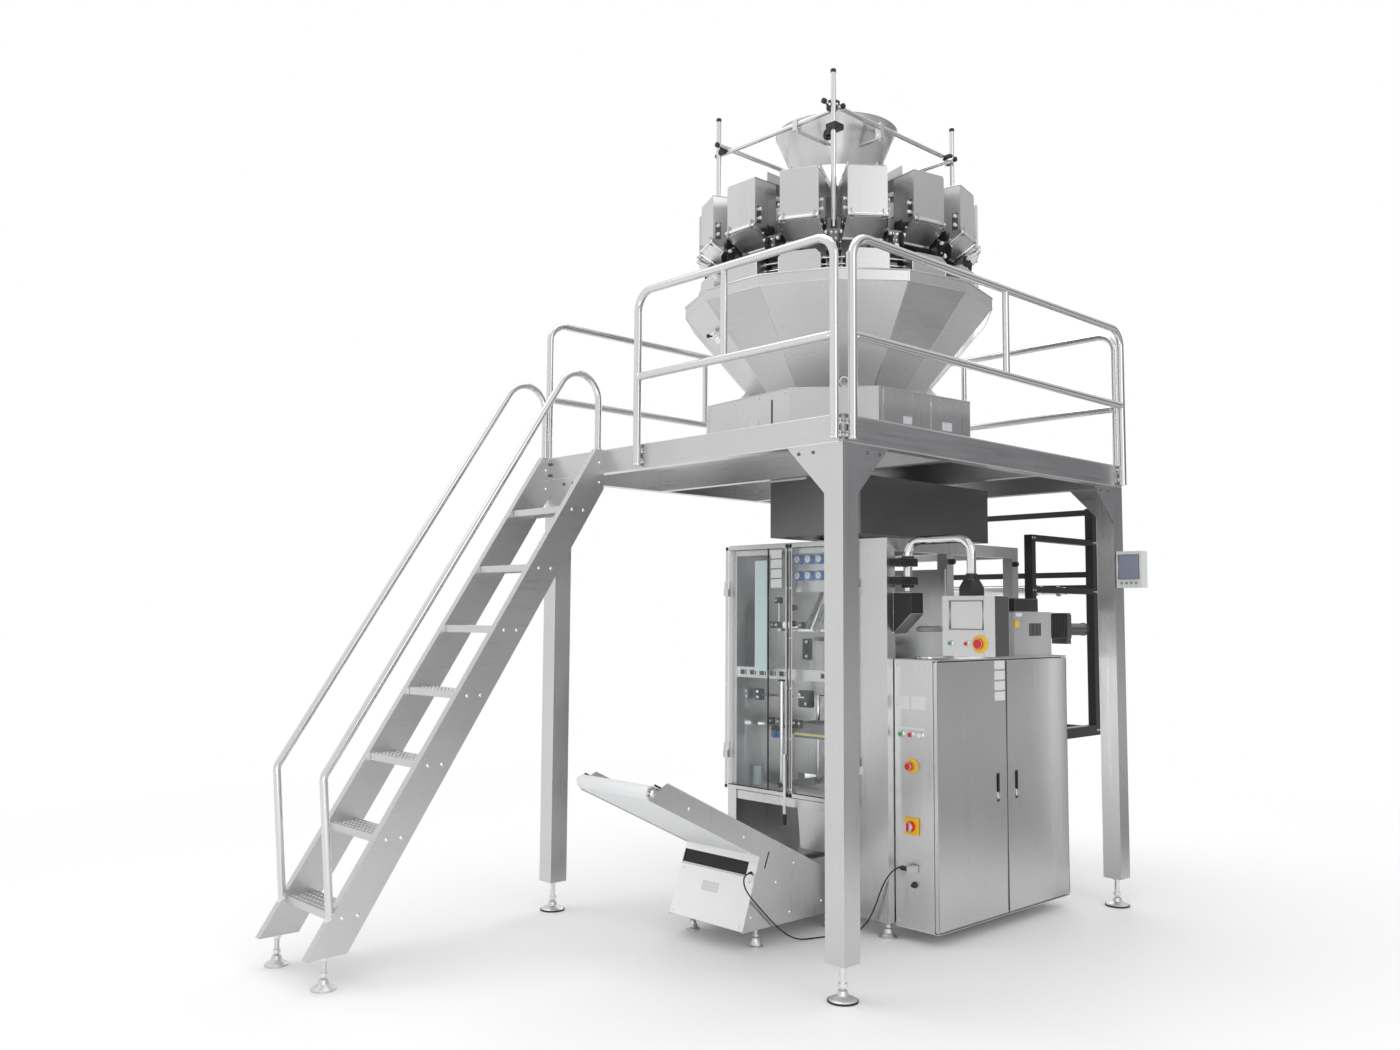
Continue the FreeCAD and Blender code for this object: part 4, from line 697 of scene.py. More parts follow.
def stair_fittings():
    studs, bolts, flanges, caps = builds(4)
    for k in range(1, 8):
        z = k * DECK_TOP / 8
        y = STAIR_HEAD - (DECK_TOP - z) / STAIR_TAN + 12
        for i in range(13):
            for j in range(4):
                x = -968 + i * 31.8 + (8 if j % 2 else -8)
                studs.lathe([(0, 7.5), (2.2, 5.6), (2.2, 3.4), (0.9, 2.8)],
                            (x, y + 24 + j * 31, z - 0.2), Z_AXIS, 8)
        studs.block((-984, y - 1.5, z - 30), (-571, y + 1, z + 1.2), 0.8)
        for x, s in ((STAIR_X[0] - 20, -1), (STAIR_X[1] + 20, 1)):
            for dy in (34, 104):
                bolts.lathe([(0, 9), (1.5, 9), (4, 6), (4.6, 3)], (x, y + dy, z - 17),
                            (s, 0, 0), 16)
    for x in STAIR_X:
        # flanges where the handrails meet the stringers
        knee_y = STAIR_HEAD - (DECK_TOP - 130) / STAIR_TAN + 62
        foot_y = knee_y + 42
        foot_z = DECK_TOP - (STAIR_HEAD - foot_y) * STAIR_TAN - 4
        slope = Vector((0, -sin(STAIR_SLOPE), cos(STAIR_SLOPE)))
        flanges.lathe([(-2, 19), (0, 24), (4, 24), (6, 19)], (x, foot_y, foot_z), slope, 24)
        flanges.lathe([(0, 24), (4, 24), (6, 19)], (x, -HALF_Y - 25, DECK_TOP), Z_AXIS, 24)
        caps.block((x - 18, -HALF_Y - 48, DECK_TOP - 0.5),
                   (x + 18, -HALF_Y - 3, DECK_TOP + 2), 0.8)
        for z in (2300, 2200):
            for s in (1, -1):
                bolts.bolt((x + s * 20, -HALF_Y - 30, z), (s, 0, 0), 6)
        foot_mid = STAIR_HEAD - (DECK_TOP - 130) / STAIR_TAN + 75 / sin(STAIR_SLOPE)
        flanges.lathe([(0, 17), (1, 18), (14, 18), (15, 17)], (x, foot_mid, 54), Z_AXIS, 6)
        flanges.lathe([(0, 17), (1, 18), (11, 18), (12, 17)], (x, foot_mid, 118), Z_AXIS, 6)
    piece("tread_studs", studs, SATIN)
    piece("stair_bolts", bolts, CHROME)
    piece("handrail_flanges", flanges, CHROME)
    piece("stringer_caps", caps, SATIN)


# ---- bagging machine ------------------------------------------------------------------
BAG_FRONT = -296.0


def door_trim(name, x0, x1, stile, gaskets):
    """Frame sheet, dark gaskets and screws of one clear door."""
    face = BAG_FRONT - 9 - 20
    frame_sheet, seals, screws = builds(3)
    z0, z1, edge = 600, 1912, 20
    frame_sheet.block((x0 + 1, face - 1.5, z1 - edge), (x1 - 1, face + 2, z1 - 1))
    frame_sheet.block((x0 + 1, face - 1.5, z0 + 1), (x1 - 1, face + 2, z0 + edge))
    frame_sheet.block((x0 + 1, face - 1.5, z0 + 1), (x0 + edge, face + 2, z1 - 1))
    frame_sheet.block((x1 - edge, face - 1.5, z0 + 1), (x1 - 1, face + 2, z1 - 1))
    for x, wide in gaskets:
        seals.block((x - wide / 2, face - 3.5, 620), (x + wide / 2, face + 1, 1893), 1.2)
    for z in (620, 1893):
        seals.block((x0 + 21, face + 5, z - 3), (x1 - stile - 21, face + 13, z + 3), 1)
    for z in (640, 900, 1160, 1420, 1680, 1880):
        for x in (x0 + 11, x1 - 9):
            screws.lathe([(0, 5), (1.2, 5), (2.6, 3)], (x, face - 1.5, z), FRONT, 12)
    piece(name + "_sheet", frame_sheet, SHEET, name)
    piece(name + "_seals", seals, RUBBER, name)
    piece(name + "_screws", screws, CHROME, name)


def bagger_fittings():
    door_trim("bagger_door_left", -530, -63, 122, ((-206, 9), (-69, 8)))
    door_trim("bagger_door_right", -57, 373, 0, ((-48, 6),))
    face = BAG_FRONT - 29
    label, strip, bar, tip = builds(4)
    for k in range(4):
        label.block((-188, face - 3, 1682 + k * 52), (-108, face - 1.2, 1728 + k * 52), 0.8)
    strip.block((-315, face + 9, 1240), (-225, face + 12, 1830), 0.8)
    bar.lathe([(0, 6), (2, 8), (300, 8), (302, 6)], (-76, face - 14, 513), Z_AXIS, 18)
    for z in (640, 800):
        bar.lathe([(0, 6), (14, 6)], (-76, face - 14, z), Y_AXIS, 14)
        bar.block((-90, face - 3, z - 12), (-64, face - 1, z + 12), 0.8)
    bar.lathe([(0, 6), (3, 9), (9, 9), (11, 7)], (-76, face - 14, 810), Z_AXIS, 18)
    tip.lathe([(0, 6), (3, 11), (40, 12), (52, 10), (56, 8)], (-76, face - 14, 458), Z_AXIS, 18)
    piece("door_label_places", label, PLATE, "bagger_door_left")
    piece("door_blue_strip", strip, PALE_BLUE, "bagger_door_left")
    piece("door_bar", bar, CHROME, "bagger_door_left")
    piece("door_bar_tip", tip, BLACK, "bagger_door_left")

    rims, dials, hands = builds(3)
    for x in (-39, 35, 108):
        for z in (1745, 1830):
            rims.lathe([(0, 26), (20, 26), (29, 25), (30.5, 22), (30.5, 19), (28.5, 18)],
                       (x, -256, z), FRONT, 28)
            dials.lathe([(0, 19.5), (2, 19.5), (2.2, 18)], (x, -284, z), FRONT, 28)
            hands.block((x - 1, -287.6, z - 4), (x + 1, -286, z + 13), 0.3)
            for t in range(9):
                a = radians(-45 + t * 33.75)
                px, pz = x + 15 * cos(a), z + 15 * sin(a)
                hands.block((px - 0.9, -287.2, pz - 0.9), (px + 0.9, -286, pz + 0.9), 0)
    piece("gauge_rims", rims, BLUE)
    piece("gauge_dials", dials, WHITE)
    piece("gauge_hands", hands, BLACK)

    # inside the machine: slots of the middle beam, guide rods, clamps, filter bowls, strip
    dark, rods, knobs, bowls, yellow = builds(5)
    for i in range(12):
        x = -430 + i * 72
        if abs(x) > 90:
            dark.block((x - 24, -283.4, 1216), (x + 8, -281.5, 1241), 0.8)
            dark.block((x + 14, -283.4, 1216), (x + 22, -281.5, 1241), 0.8)
    for x in (-268, 268):
        rods.lathe([(0, 12), (610, 12)], (x, 150, 600), Z_AXIS, 20)
        rods.lathe([(0, 12), (610, 12)], (x, -150, 600), Z_AXIS, 20)
        for y in (150, -150):
            for z in (612, 1180):
                dark.lathe([(0, 19), (1, 20), (21, 20), (22, 19)], (x, y, z), Z_AXIS, 20)
    for x, z in ((-203, 1578), (203, 1578), (-203, 1492), (203, 1492)):
        knobs.lathe([(0, 6), (14, 6), (16, 15), (22, 17), (34, 16), (38, 10)], (x, -100, z),
                    FRONT, 16)
        rods.lathe([(0, 7), (62, 7)], (x, -160, z), Y_AXIS, 14)
    for s in (1, -1):
        knobs.block((s * 173 - 33, -55, 1298), (s * 173 + 33, -44.5, 1412), 1.5)
        for z in (1316, 1394):
            rods.bolt((s * 173, -55, z), FRONT, 8)
        for z in (1128, 1382):
            knobs.lathe([(0, 23), (1, 24), (35, 24), (36, 23)], (s * 103, -18, z), Y_AXIS, 20)
    for x in (-367, -327):
        bowls.lathe([(0, 8), (3, 15), (8, 18), (40, 18), (42, 16)], (x, -100, 865), Z_AXIS, 24)
        knobs.lathe([(0, 19), (1, 20), (20, 20), (22, 17), (28, 11)], (x, -100, 905), Z_AXIS, 24)
    rods.block((-505, -92, 926), (-165, -84, 942), 1.5)
    rods.block((-276, -150, 926), (-260, -86, 942), 1.5)
    for x, wide in ((-396, 34), (-336, 26), (-218, 24), (-182, 20)):
        knobs.block((x - wide / 2, -108, 938), (x + wide / 2, -80, 974), 3)
        rods.bolt((x, -108, 956), FRONT, 6)
    # clamps, shaft and guide bars on the left of the forming tube
    rods.block((-389, -104, 1470), (-138, -92, 1500), 1.5)
    rods.lathe([(0, 8), (176, 8)], (-337, -98, 1470), Z_AXIS, 16)
    for x, z in ((-337, 1485), (-372, 1485), (-160, 1485), (-337, 1620)):
        knobs.block((x - 17, -122, z - 17), (x + 17, -84, z + 17), 3)
        rods.bolt((x, -122, z), FRONT, 7)
    knobs.block((-519, -112, 1065), (-457, -86, 1129), 4)
    knobs.block((-196, -104, 1043), (-110, -60, 1134), 5)
    for x, z in ((-488, 1112), (-488, 1082), (-176, 1112), (-132, 1064)):
        rods.lathe([(0, 9), (14, 9), (16, 7)], (x, -100, z), FRONT, 16)
    rods.lathe([(0, 7), (340, 7)], (-488, -99, 1097), X_AXIS, 14)
    jar = Build()
    jar.lathe([(0, 25), (2, 27), (103, 27), (105, 25)], (-498, -100, 598), Z_AXIS, 28)
    piece("bagger_oil_jar", jar, PALE_BLUE)
    yellow.block((-228, -95.5, 892), (228, -93, 905), 0.8)
    piece("bagger_dark_parts", dark, BLACK_PAINT)
    piece("bagger_rods", rods, CHROME)
    piece("bagger_knobs", knobs, BLACK)
    piece("filter_bowls", bowls, BLUE)
    piece("jaw_strip", yellow, PALE_YELLOW)
    post = Build()
    for y, z in ((241, 1820), (850, 1828)):
        post.knob((560, y, z), X_AXIS, 15, 26)
    post.lathe([(0, 31), (12, 31), (14, 28)], (597, -180, 1676), Z_AXIS, 24)
    piece("post_knobs", post, BLACK)
    housing = Build()
    housing.solid([(563, -251.5, 1650), (664, -251.5, 1650), (664, -251.5, 1551),
                   (563, -251.5, 1458)], (0, -2, 0), 0.8)
    housing.solid([(665.2, -246, 1650), (665.2, -154, 1650), (665.2, -154, 1551),
                   (665.2, -246, 1551)], (1.6, 0, 0), 0.6)
    piece("swing_housing_cover", housing, MATT_BLACK)
    back = Build()
    for x in (-470, -160, 160, 470):
        for z in (150, 520, 890, 1225):
            back.bolt((x, 889, z), Y_AXIS, 6)
    for z in (340, 760):
        for k in range(8):
            back.block((-150 + k * 40, 889, z), (-132 + k * 40, 890.6, z + 90), 0.6)
    piece("rear_panel_vents", back, DARK_STEEL)


# ---- control cabinet ------------------------------------------------------------------
CAB_FRONT, CAB_SIDE = -250.0, 811.0


def push_button(rings, caps, place, axis, r=14.0):
    rings.lathe([(0, r + 2.5), (5, r + 2.5), (8, r + 0.5), (8, r - 3), (6, r - 3.5)], place, axis)
    caps.lathe([(6, r - 3.2), (16.5, r - 3.2), (17.5, r - 4.5)], place, axis)


def stop_button(yellow, red, place, axis, r, stem, high):
    """Emergency stop: yellow collar with a red mushroom head."""
    yellow.lathe([(0, r * 1.7), (stem * 0.8, r * 1.7), (stem, r * 1.55), (stem, r)], place,
                 axis, 28)
    red.lathe([(stem - 1, r * 0.72), (high * 0.5, r * 0.72), (high * 0.55, r * 1.02),
               (high * 0.85, r * 1.05), (high + 1, r * 0.7)], place, axis, 28)


def cabinet_fittings():
    rings, green, red, pale, yellow = builds(5)
    for x, caps in ((607, green), (662, red), (718, pale)):
        push_button(rings, caps, (x, CAB_FRONT, 972), FRONT, 15)
    stop_button(yellow, red, (664, CAB_FRONT, 824), FRONT, 20.8, 7, 39)
    yellow.block((624, CAB_FRONT - 12, 502), (704, CAB_FRONT - 0.5, 582), 2)
    red.lathe([(10, 25), (34, 25), (37, 23), (38, 18)], (664, CAB_FRONT, 542), FRONT, 28)
    red.block((658, CAB_FRONT - 46, 521), (670, CAB_FRONT - 30, 563), 2)
    piece("cabinet_button_rings", rings, CHROME)
    piece("cabinet_green_button", green, GREEN)
    piece("cabinet_red_parts", red, RED)
    piece("cabinet_pale_button", pale, WHITE)
    piece("cabinet_yellow_parts", yellow, YELLOW)
    plate, black, hems = builds(3)
    plate.block((578, CAB_FRONT - 1.5, 1093), (654, CAB_FRONT + 0.5, 1155), 0.7)
    plate.block((664, CAB_FRONT - 1.5, 1093), (748, CAB_FRONT + 0.5, 1155), 0.7)
    plate.block((588, CAB_FRONT - 1.5, 996), (740, CAB_FRONT + 0.5, 1006), 0.6)
    piece("cabinet_label_places", plate, PLATE)
    black.lathe([(0, 15), (8, 15), (10, 12), (20, 11), (22, 8)], (676, CAB_FRONT, 270), FRONT, 6)
    black.block((670.5, CAB_FRONT - 2.5, 333), (701.5, CAB_FRONT + 0.5, 365), 1.5)
    piece("cabinet_glands", black, BLACK)
    hems.sweep([(567, -248, 1328), (809, -248, 1328), (809, 943, 1328), (567, 943, 1328)], 3, True)
    hems.sweep([(567, -248, 64), (784, -248, 64)], 3)
    hems.block((783, CAB_FRONT - 1, 72), (788, CAB_FRONT + 1, 1318), 0.6)
    for x in (582, 770):
        for z in (90, 700, 1300):
            hems.lathe([(0, 6), (1.5, 6), (3, 3.5)], (x, CAB_FRONT, z), FRONT, 14)
    piece("cabinet_hems", hems, SATIN)
    for name, y0, y1, hy, s in (("cabinet_door_front", -250, 344.5, 262.5, 1),
                                ("cabinet_door_rear", 350.5, 945, 432.5, -1)):
        edge, grip, lower, seal = builds(4)
        edge.sweep([(CAB_SIDE - 1, y0 + 3, 72), (CAB_SIDE - 1, y1 - 3, 72),
                    (CAB_SIDE - 1, y1 - 3, 1316), (CAB_SIDE - 1, y0 + 3, 1316)], 2.2, True, 8)
        grip.block((803.5, hy - 13, 622), (808, hy + 13, 760), 1.2)
        grip.block((805, hy - 9.5, 668), (816, hy + 9.5, 757), 3)
        lower.block((805, hy - 9.5, 632), (815, hy + 9.5, 668), 3)
        lower.lathe([(0, 8), (3, 8), (4, 6)], (815, hy, 650), X_AXIS, 18)
        y = y1 - 1 if s == 1 else y0 + 1
        seal.block((795, min(y, y + s * 1.8), 80), (808, max(y, y + s * 1.8), 1308), 0.5)
        piece(name + "_edge", edge, SATIN, name)
        piece(name + "_handle", grip, BLACK, name)
        piece(name + "_catch", lower, CHROME, name)
        piece(name + "_seal", seal, RUBBER, name)
        if s == 1:
            spot = Build()
            for k in range(4):
                spot.block((CAB_SIDE - 0.5, 240, 1118 + k * 52),
                           (CAB_SIDE + 1.4, 335, 1162 + k * 52), 0.7)
            piece("cabinet_side_label_places", spot, PLATE, name)
    lid, jar_ring = builds(2)
    lid.lathe([(134, 57), (137, 66), (150, 66), (156, 62), (161.5, 50)], (645, -70, 1328), Z_AXIS,
              36)
    jar_ring.lathe([(0, 64), (1, 72), (10, 72), (12, 70.5)], (645, -70, 1328), Z_AXIS, 36)
    piece("jar_lid", lid, GREY)
    piece("jar_ring", jar_ring, CHROME)


# ---- operator panel, film drive, display ----------------------------------------------
PANEL_X = 962.0
PANEL_FACE = -210.0


def panel_fittings():
    body = "operator_panel"
    x0, x1, z0, z1 = PANEL_X - 142, PANEL_X + 142, 1353, 1633
    bezel, dark, glass, frame_bars = builds(4)
    bezel.block((x0 - 1, PANEL_FACE - 3, z0 - 1), (PANEL_X - 107, PANEL_FACE + 1, z1 + 1), 1.5)
    bezel.block((PANEL_X + 84, PANEL_FACE - 3, z0 - 1), (x1 + 1, PANEL_FACE + 1, z1 + 1), 1.5)
    bezel.block((PANEL_X - 110, PANEL_FACE - 3, 1617), (PANEL_X + 86, PANEL_FACE + 1, z1 + 1), 1.5)
    bezel.block((PANEL_X - 110, PANEL_FACE - 3, z0 - 1), (PANEL_X + 86, PANEL_FACE + 1, 1471), 1.5)
    glass.block((PANEL_X - 96, PANEL_FACE + 4, 1484), (PANEL_X + 73, PANEL_FACE + 8.5, 1605), 0.8)
    frame_bars.sweep([(PANEL_X - 101, PANEL_FACE + 1, 1478), (PANEL_X + 78, PANEL_FACE + 1, 1478),
                      (PANEL_X + 78, PANEL_FACE + 1, 1610), (PANEL_X - 101, PANEL_FACE + 1, 1610)],
                     4.5, True, 8)
    dark.block((x1 - 1, PANEL_FACE + 3, z0 + 2), (x1 + 1.5, PANEL_FACE + 114, z1 - 2), 0.8)
    for k in range(6):
        z = 1400 + k * 26
        dark.block((x0 + 40, PANEL_FACE + 117.5, z), (x1 - 40, PANEL_FACE + 119.5, z + 10), 0.6)
    piece("panel_bezel", bezel, SATIN, body)
    piece("panel_screen", glass, SCREEN_GLASS, body)
    piece("panel_screen_frame", frame_bars, GREY, body)
    piece("panel_side", dark, DARK_GREY, body)
    rings, green, red, yellow = builds(4)
    z = 1411
    push_button(rings, green, (PANEL_X - 96, PANEL_FACE, z), FRONT, 12.5)
    push_button(rings, red, (PANEL_X - 8, PANEL_FACE, z), FRONT, 12.5)
    stop_button(yellow, red, (PANEL_X + 63, PANEL_FACE, z), FRONT, 24.6, 9, 28)
    piece("panel_button_rings", rings, CHROME, body)
    piece("panel_green_button", green, GREEN, body)
    piece("panel_red_buttons", red, RED, body)
    piece("panel_stop_collar", yellow, YELLOW, body)
    joint = Build()
    corners = [radians(60 * k) for k in range(6)]
    joint.skin([[joint.vert((PANEL_X + r * cos(a), -180 + r * sin(a), z))
                 for a in corners]
                for z, r in ((1633.5, 63.3), (1634.5, 64), (1673.4, 64), (1708.6, 42),
                             (1710, 39))])
    piece("panel_joint", joint, MATT_BLACK, body)
    sleeve = Build()
    sleeve.lathe([(0, 24), (1, 27), (26, 27), (28, 23)], (PANEL_X, -180, 1711), Z_AXIS, 24)
    sleeve.lathe([(0, 31), (1, 32), (9, 32), (10, 30)], (597, -180, 1820.6), Z_AXIS, 24)
    piece("arm_sleeves", sleeve, BLACK, "swing_arm")
    clamps = Build()
    for z in (1690, 1780):
        clamps.block((561, -277, z - 1), (632.5, -204, z + 0.4), 0.3)
        clamps.block((561, -277.5, z + 1), (632, -276, z + 39), 0.5)
        clamps.block((631, -276, z + 1), (632.6, -146, z + 39), 0.5)
        for y in (-232, -210):
            clamps.bolt((632.5, y, z + 20), X_AXIS, 6)
    piece("arm_clamp_covers", clamps, MATT_BLACK)


def drive_and_display_fittings():
    vents, plates, yellow, black, hems = builds(5)
    for k in range(9):
        vents.block((779.5, 628 + k * 13.4, 1437), (781.5, 636 + k * 13.4, 1504), 0.6)
    plates.block((779.5, 500, 1538), (781.3, 556, 1558), 0.6)
    yellow.lathe([(0, 20), (4, 20), (6, 18), (7, 8)], (780, 505, 1500), X_AXIS, 24)
    black.block((648.5, 498.5, 1562.5), (776.5, 726.5, 1634), 3)
    hems.sweep([(601, 481, 1561), (779, 481, 1561), (779, 849, 1561), (601, 849, 1561)], 2.6, True)
    for y in (492, 838):
        for z in (1342, 1548):
            hems.lathe([(0, 6), (1.5, 6), (3, 3.5)], (780, y, z), X_AXIS, 14)
    piece("drive_vents", vents, BLACK_PAINT)
    piece("drive_bare_plate", plates, PLATE)
    piece("drive_yellow_cover", yellow, YELLOW)
    piece("drive_terminal_cover", black, BLACK)
    piece("drive_hems", hems, SATIN)
    fins = Build()
    for k in range(14):
        y = 866 + k * 16
        fins.block((622, y, 1423), (748, y + 5, 1552), 1)
    fins.lathe([(0, 36), (2, 38), (16, 38), (18, 35)], (685, 1150, 1468), Y_AXIS, 28)
    fins.lathe([(0, 35), (2, 37), (12, 37), (14, 35)], (685, 1362, 1468), Y_AXIS, 28)
    for x in (654, 716):
        for z in (1404, 1544):
            fins.bolt((x, 1150, z), Y_AXIS, 8)
    piece("motor_fins", fins, BLACK_PAINT)
    glass, rim, keys = builds(3)
    y = 1195 - 92
    glass.block((1045, y - 2, 1745), (1157, y + 1, 1872), 1)
    rim.sweep([(1043, y - 1, 1743), (1159, y - 1, 1743), (1159, y - 1, 1874), (1043, y - 1, 1874)],
              3.2, True, 8)
    for k in range(4):
        keys.lathe([(0, 8), (2, 8), (3, 6)], (1060 + k * 27, y, 1721), FRONT, 16)
    piece("display_glass", glass, DISPLAY_GLASS)
    piece("display_rim", rim, GREY)
    piece("display_keys", keys, GREY)


def rack_fittings():
    joints, ends = builds(2)
    for x in (-530, 510):
        for y, z in ((1765, 1690), (1765, 1988), (1765, 860), (1060, 1690), (1060, 1988)):
            for dy in (-12, 12):
                joints.bolt((x + (50 if x > 0 else 0), y + dy, z), (1 if x > 0 else -1, 0, 0), 6)
    for y, z in ((1240, 1692), (1500, 1692), (1380, 860)):
        for s in (1, -1):
            ends.lathe([(0, 30), (2, 32), (14, 32), (16, 24)], (-5 + s * 459, y, z), (s, 0, 0), 24)
            ends.lathe([(0, 15), (8, 15), (10, 12)], (-5 + s * 535, y, z), (s, 0, 0), 6)
    piece("rack_bolts", joints, CHROME)
    piece("roller_ends", ends, GREY)


# ---- take-off conveyor ----------------------------------------------------------------
def conveyor_fittings():
    (ya, za), (yb, zb) = (-60.0, 68.0), (-1530.0, 774.0)
    length = hypot(yb - ya, zb - za)
    along = Vector((0, (yb - ya) / length, (zb - za) / length))
    up = Vector((0, along.z, -along.y))
    # the slanted front of the base: up its slant, and out of it
    lean = Vector((0, 138.0, 386.0)).normalized()
    normal = Vector((0, -386.0, 138.0)).normalized()

    def pt(x, s, n):
        """Point beside the belt: s along it from its low end, n over it."""
        return Vector((x, ya, za)) + along * s + up * n

    def fascia(x, s, out=0.0):
        return Vector((x, -980, 90)) + lean * s + normal * out
    sheet, dark, plate, screws, seams = builds(5)

    def panel(build, x0, x1, s0, s1, out, thick, soften=0.8):
        build.solid([fascia(x0, s0, out), fascia(x1, s0, out), fascia(x1, s1, out),
                     fascia(x0, s1, out)], normal * thick, soften)
    panel(sheet, -248, 248, 6, 244, 0.5, 2.0)
    panel(sheet, -248, 248, 316, 392, 0.5, 2.0)
    panel(sheet, 190, 248, 240, 320, 0.5, 2.0)
    panel(dark, -244, 192, 244, 316, -6, 3.0)
    panel(plate, -74, 34, 144, 190, 2.3, 1.6)
    for x in (-225, 225):
        for s in (24, 226):
            p = fascia(x, s, 2.4)
            screws.lathe([(0, 7), (2, 7), (4, 4)], p, normal, 14)
    for s in (1, -1):
        out = Vector((s, 0, 0))
        for y, z in ((-755, 286), (-926, 152), (-660, 134), (-430, 150)):
            screws.lathe([(0, 8), (1.5, 8), (4, 4.5)], (s * 250, y, z), out, 16)
        for d in (260, 640, 1020, 1400):
            p = pt(s * 250, d, 14)
            screws.lathe([(0, 8), (1.5, 8), (4, 4.5)], p, out, 16)
        dark.solid([(s * 250, -808, 433), (s * 250, -800, 436), (s * 250, -830, 362),
                    (s * 250, -838, 359)], (s * 1.5, 0, 0), 0.4)
        # rolled top edge of the side guides and a dark wear strip beside the belt
        seams.sweep([pt(s * 248, -18, 67), pt(s * 248, length - 62, 67)], 3.4)
        dark.solid([pt(s * 240, 0, 33), pt(s * 245, 0, 33), pt(s * 245, length, 33),
                    pt(s * 240, length, 33)], up * 9, 0.8)
        for y, z in ((ya, za), (yb, zb)):
            screws.lathe([(0, 17), (3, 17), (5, 14), (9, 9), (10, 6)], (s * 250, y, z), out, 20)
        slab_x = sorted((s * 250, s * 252))
        seams.block((slab_x[0], -574, 132), (slab_x[1], -570, 352), 0.5)
    for k in range(3):
        s0 = length * (0.22 + 0.31 * k)
        seams.solid([pt(-234, s0, 32), pt(234, s0, 32), pt(234, s0 + 10, 32),
                     pt(-234, s0 + 10, 32)], up * 1.6, 0.6)
    # the front sheets take the lighter copy of the steel, painted light for their lit faces
    piece("conveyor_front_sheet", sheet, PAINTED_LIGHT_FRONT_SHEET)
    piece("conveyor_dark_parts", dark, RUBBER)
    piece("conveyor_bare_plate", plate, PLATE)
    piece("conveyor_screws", screws, CHROME)
    piece("conveyor_seams", seams, SATIN)
    feet = Build()
    for x, y, r in ([(sx * 215, y, 10.5) for sx in (1, -1) for y in (-855, -330)]
                    + [(x, y, 12.6) for x in (-500, 530) for y in (-266, 860)]):
        feet.lathe([(0, r + 5), (1, r + 6), (10, r + 6), (11, r + 5)], (x, y, 52), Z_AXIS, 6)
    piece("small_foot_nuts", feet, CHROME)


# ---- floor and light ------------------------------------------------------------------
RIGHT_REAR = (0.64, 0.77, 0.0)           # the way the dark side of the studio lies
FLOOR_REACH = 60.0


def area_light(name, place, height, size, power):
    """Rectangular lamp in metres about the axis, aimed at a height on it."""
    data = bpy.data.lights.new(name, "AREA")
    data.shape = "RECTANGLE"
    data.size, data.size_y = size
    data.energy = power
    lamp = bpy.data.objects.new(name, data)
    lamp.location = AXIS + Vector(place)
    aim = Vector((0, 0, height)) - Vector(place)
    lamp.rotation_euler = aim.to_track_quat("-Z", "Y").to_euler()
    bpy.context.scene.collection.objects.link(lamp)


def math_node(tree, operation, a, b):
    return add_node(tree, "Math", {0: a, 1: b}, operation=operation, use_clamp=True).outputs[0]


def vector_value(tree, operation, a, b):
    return add_node(tree, "VectorMath", {0: a, 1: b}, operation=operation).outputs["Value"]


def light_rays(tree):
    """1 for rays straight to the eye or through glass, and 1 for mirrored ones."""
    rays = add_node(tree, "LightPath").outputs
    return (math_node(tree, "ADD", rays["Is Camera Ray"], rays["Is Transmission Ray"]),
            rays["Is Glossy Ray"])


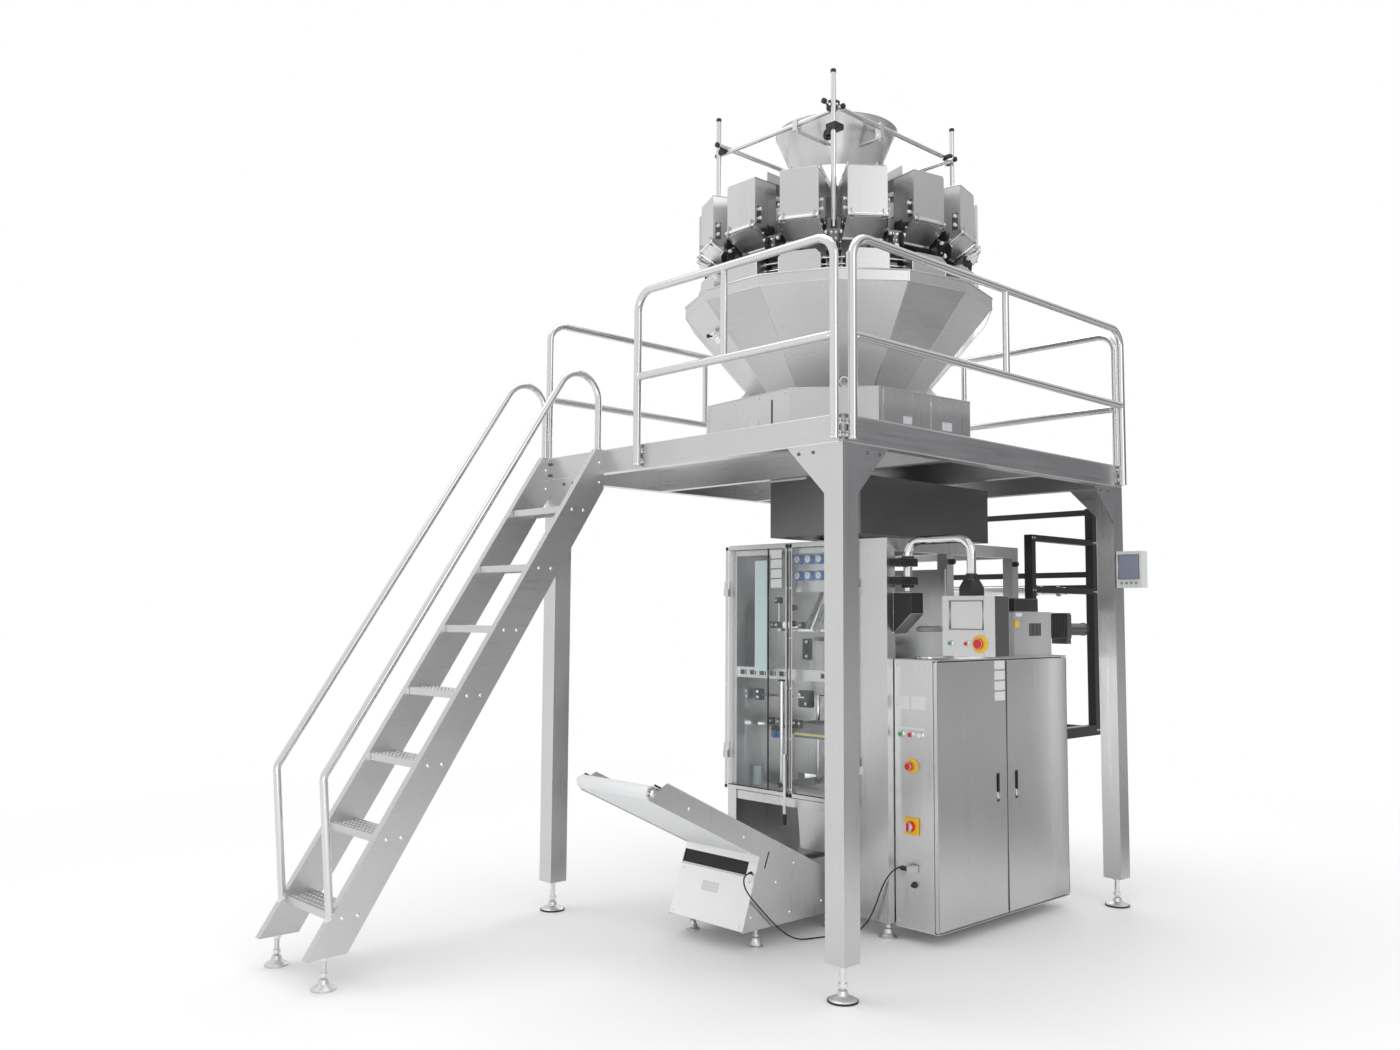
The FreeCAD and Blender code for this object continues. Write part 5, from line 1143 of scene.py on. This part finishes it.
def floor():
    """Pale floor that fades into the white backdrop well away from the machine."""
    mesh = bpy.data.meshes.new("floor")
    r = FLOOR_REACH
    mesh.from_pydata([(-r, -r, 0), (r, -r, 0), (r, r, 0), (-r, r, 0)], [], [(0, 1, 2, 3)])
    obj = bpy.data.objects.new("floor", mesh)
    bpy.context.scene.collection.objects.link(obj)
    mat, tree, bsdf = new_material("floor", (0.90, 0.90, 0.90), 0.0, 0.65)
    place = add_node(tree, "TexCoord").outputs["Object"]
    away = vector_value(tree, "DISTANCE", place, (AXIS.x, AXIS.y - 0.3, 0.0))
    fade = span(tree, away, 0.0, 1.0, 2.6, 6.5)
    # metal mirrors a floor that darkens towards the right and rear, as the backdrop does
    facing = vector_value(tree, "DOT_PRODUCT", place, RIGHT_REAR)
    start = RIGHT_REAR[0] * AXIS.x + RIGHT_REAR[1] * AXIS.y
    shade = span(tree, facing, 0.0, 1.0, start + 1.0, start + 3.4)
    seen, mirrored = light_rays(tree)
    cover = math_node(tree, "ADD", math_node(tree, "MULTIPLY", fade, seen),
                      math_node(tree, "MULTIPLY", math_node(tree, "MAXIMUM", fade, shade),
                                mirrored))
    drop = span(tree, facing, 0.74, 0.38, start + 3.0, start + 9.0)
    drop = math_node(tree, "MULTIPLY", math_node(tree, "MULTIPLY", shade, mirrored), drop)
    white = add_node(tree, "Emission", {"Color": (1, 1, 1, 1),
                                        "Strength": math_node(tree, "SUBTRACT", 1.0, drop)})
    mixed = add_node(tree, "MixShader", {0: cover, 1: bsdf.outputs[0], 2: white.outputs[0]})
    tree.links.new(mixed.outputs[0], tree.nodes["Material Output"].inputs["Surface"])
    mesh.materials.append(mat)


def backdrop():
    """White to the eye; what metal mirrors shades to grey towards the right and rear."""
    world = bpy.data.worlds.new("studio")
    world.use_nodes = True
    tree = world.node_tree
    back = tree.nodes["Background"]
    way = add_node(tree, "TexCoord").outputs["Generated"]
    facing = vector_value(tree, "DOT_PRODUCT", way, RIGHT_REAR)
    rise = add_node(tree, "SeparateXYZ", {"Vector": way}).outputs["Z"]
    right = span(tree, facing, 0.0, 1.0, 0.45, 0.97, "SMOOTHSTEP")
    low = span(tree, rise, 1.0, 0.22, 0.13, 0.34, "SMOOTHSTEP")
    ahead = span(tree, facing, 0.0, 0.16, -1.0, 0.4, "SMOOTHSTEP")
    dim = math_node(tree, "ADD", math_node(tree, "MULTIPLY", right, low), ahead)
    tones = ramp(tree, dim, (0.96, 0.96, 0.955), (0.20, 0.20, 0.215), 0.0, 1.0)
    seen, _ = light_rays(tree)
    tree.links.new(blend(tree, tones, (1, 1, 1, 1), seen), back.inputs["Color"])
    back.inputs["Strength"].default_value = 1.0
    bpy.context.scene.world = world


def lamps():
    area_light("key", (-3.2, -4.2, 9.6), 2.0, (5.0, 5.0), 120)
    area_light("side", (7.0, -1.5, 4.5), 2.0, (3.0, 5.0), 60)
    area_light("top", (0.0, 0.0, 8.5), 2.0, (5.0, 5.0), 150)
    area_light("rear", (-3.0, 6.0, 5.0), 2.5, (4.0, 3.0), 80)
    area_light("low", (3.5, -4.5, 0.8), 1.6, (3.0, 1.2), 30)


# ---- the scene ------------------------------------------------------------------------
photo_camera()
finish_nodes()
signal_cable()
for head in range(HEADS):
    gate_trim(head)
hopper_fronts()
drive_fittings()
funnel_fittings()
plinth_fittings()
top_fittings()
platform_fittings()
rail_fittings()
stair_fittings()
bagger_fittings()
cabinet_fittings()
panel_fittings()
drive_and_display_fittings()
rack_fittings()
conveyor_fittings()
floor()
backdrop()
lamps()
bpy.context.scene.view_settings.view_transform = "Standard"
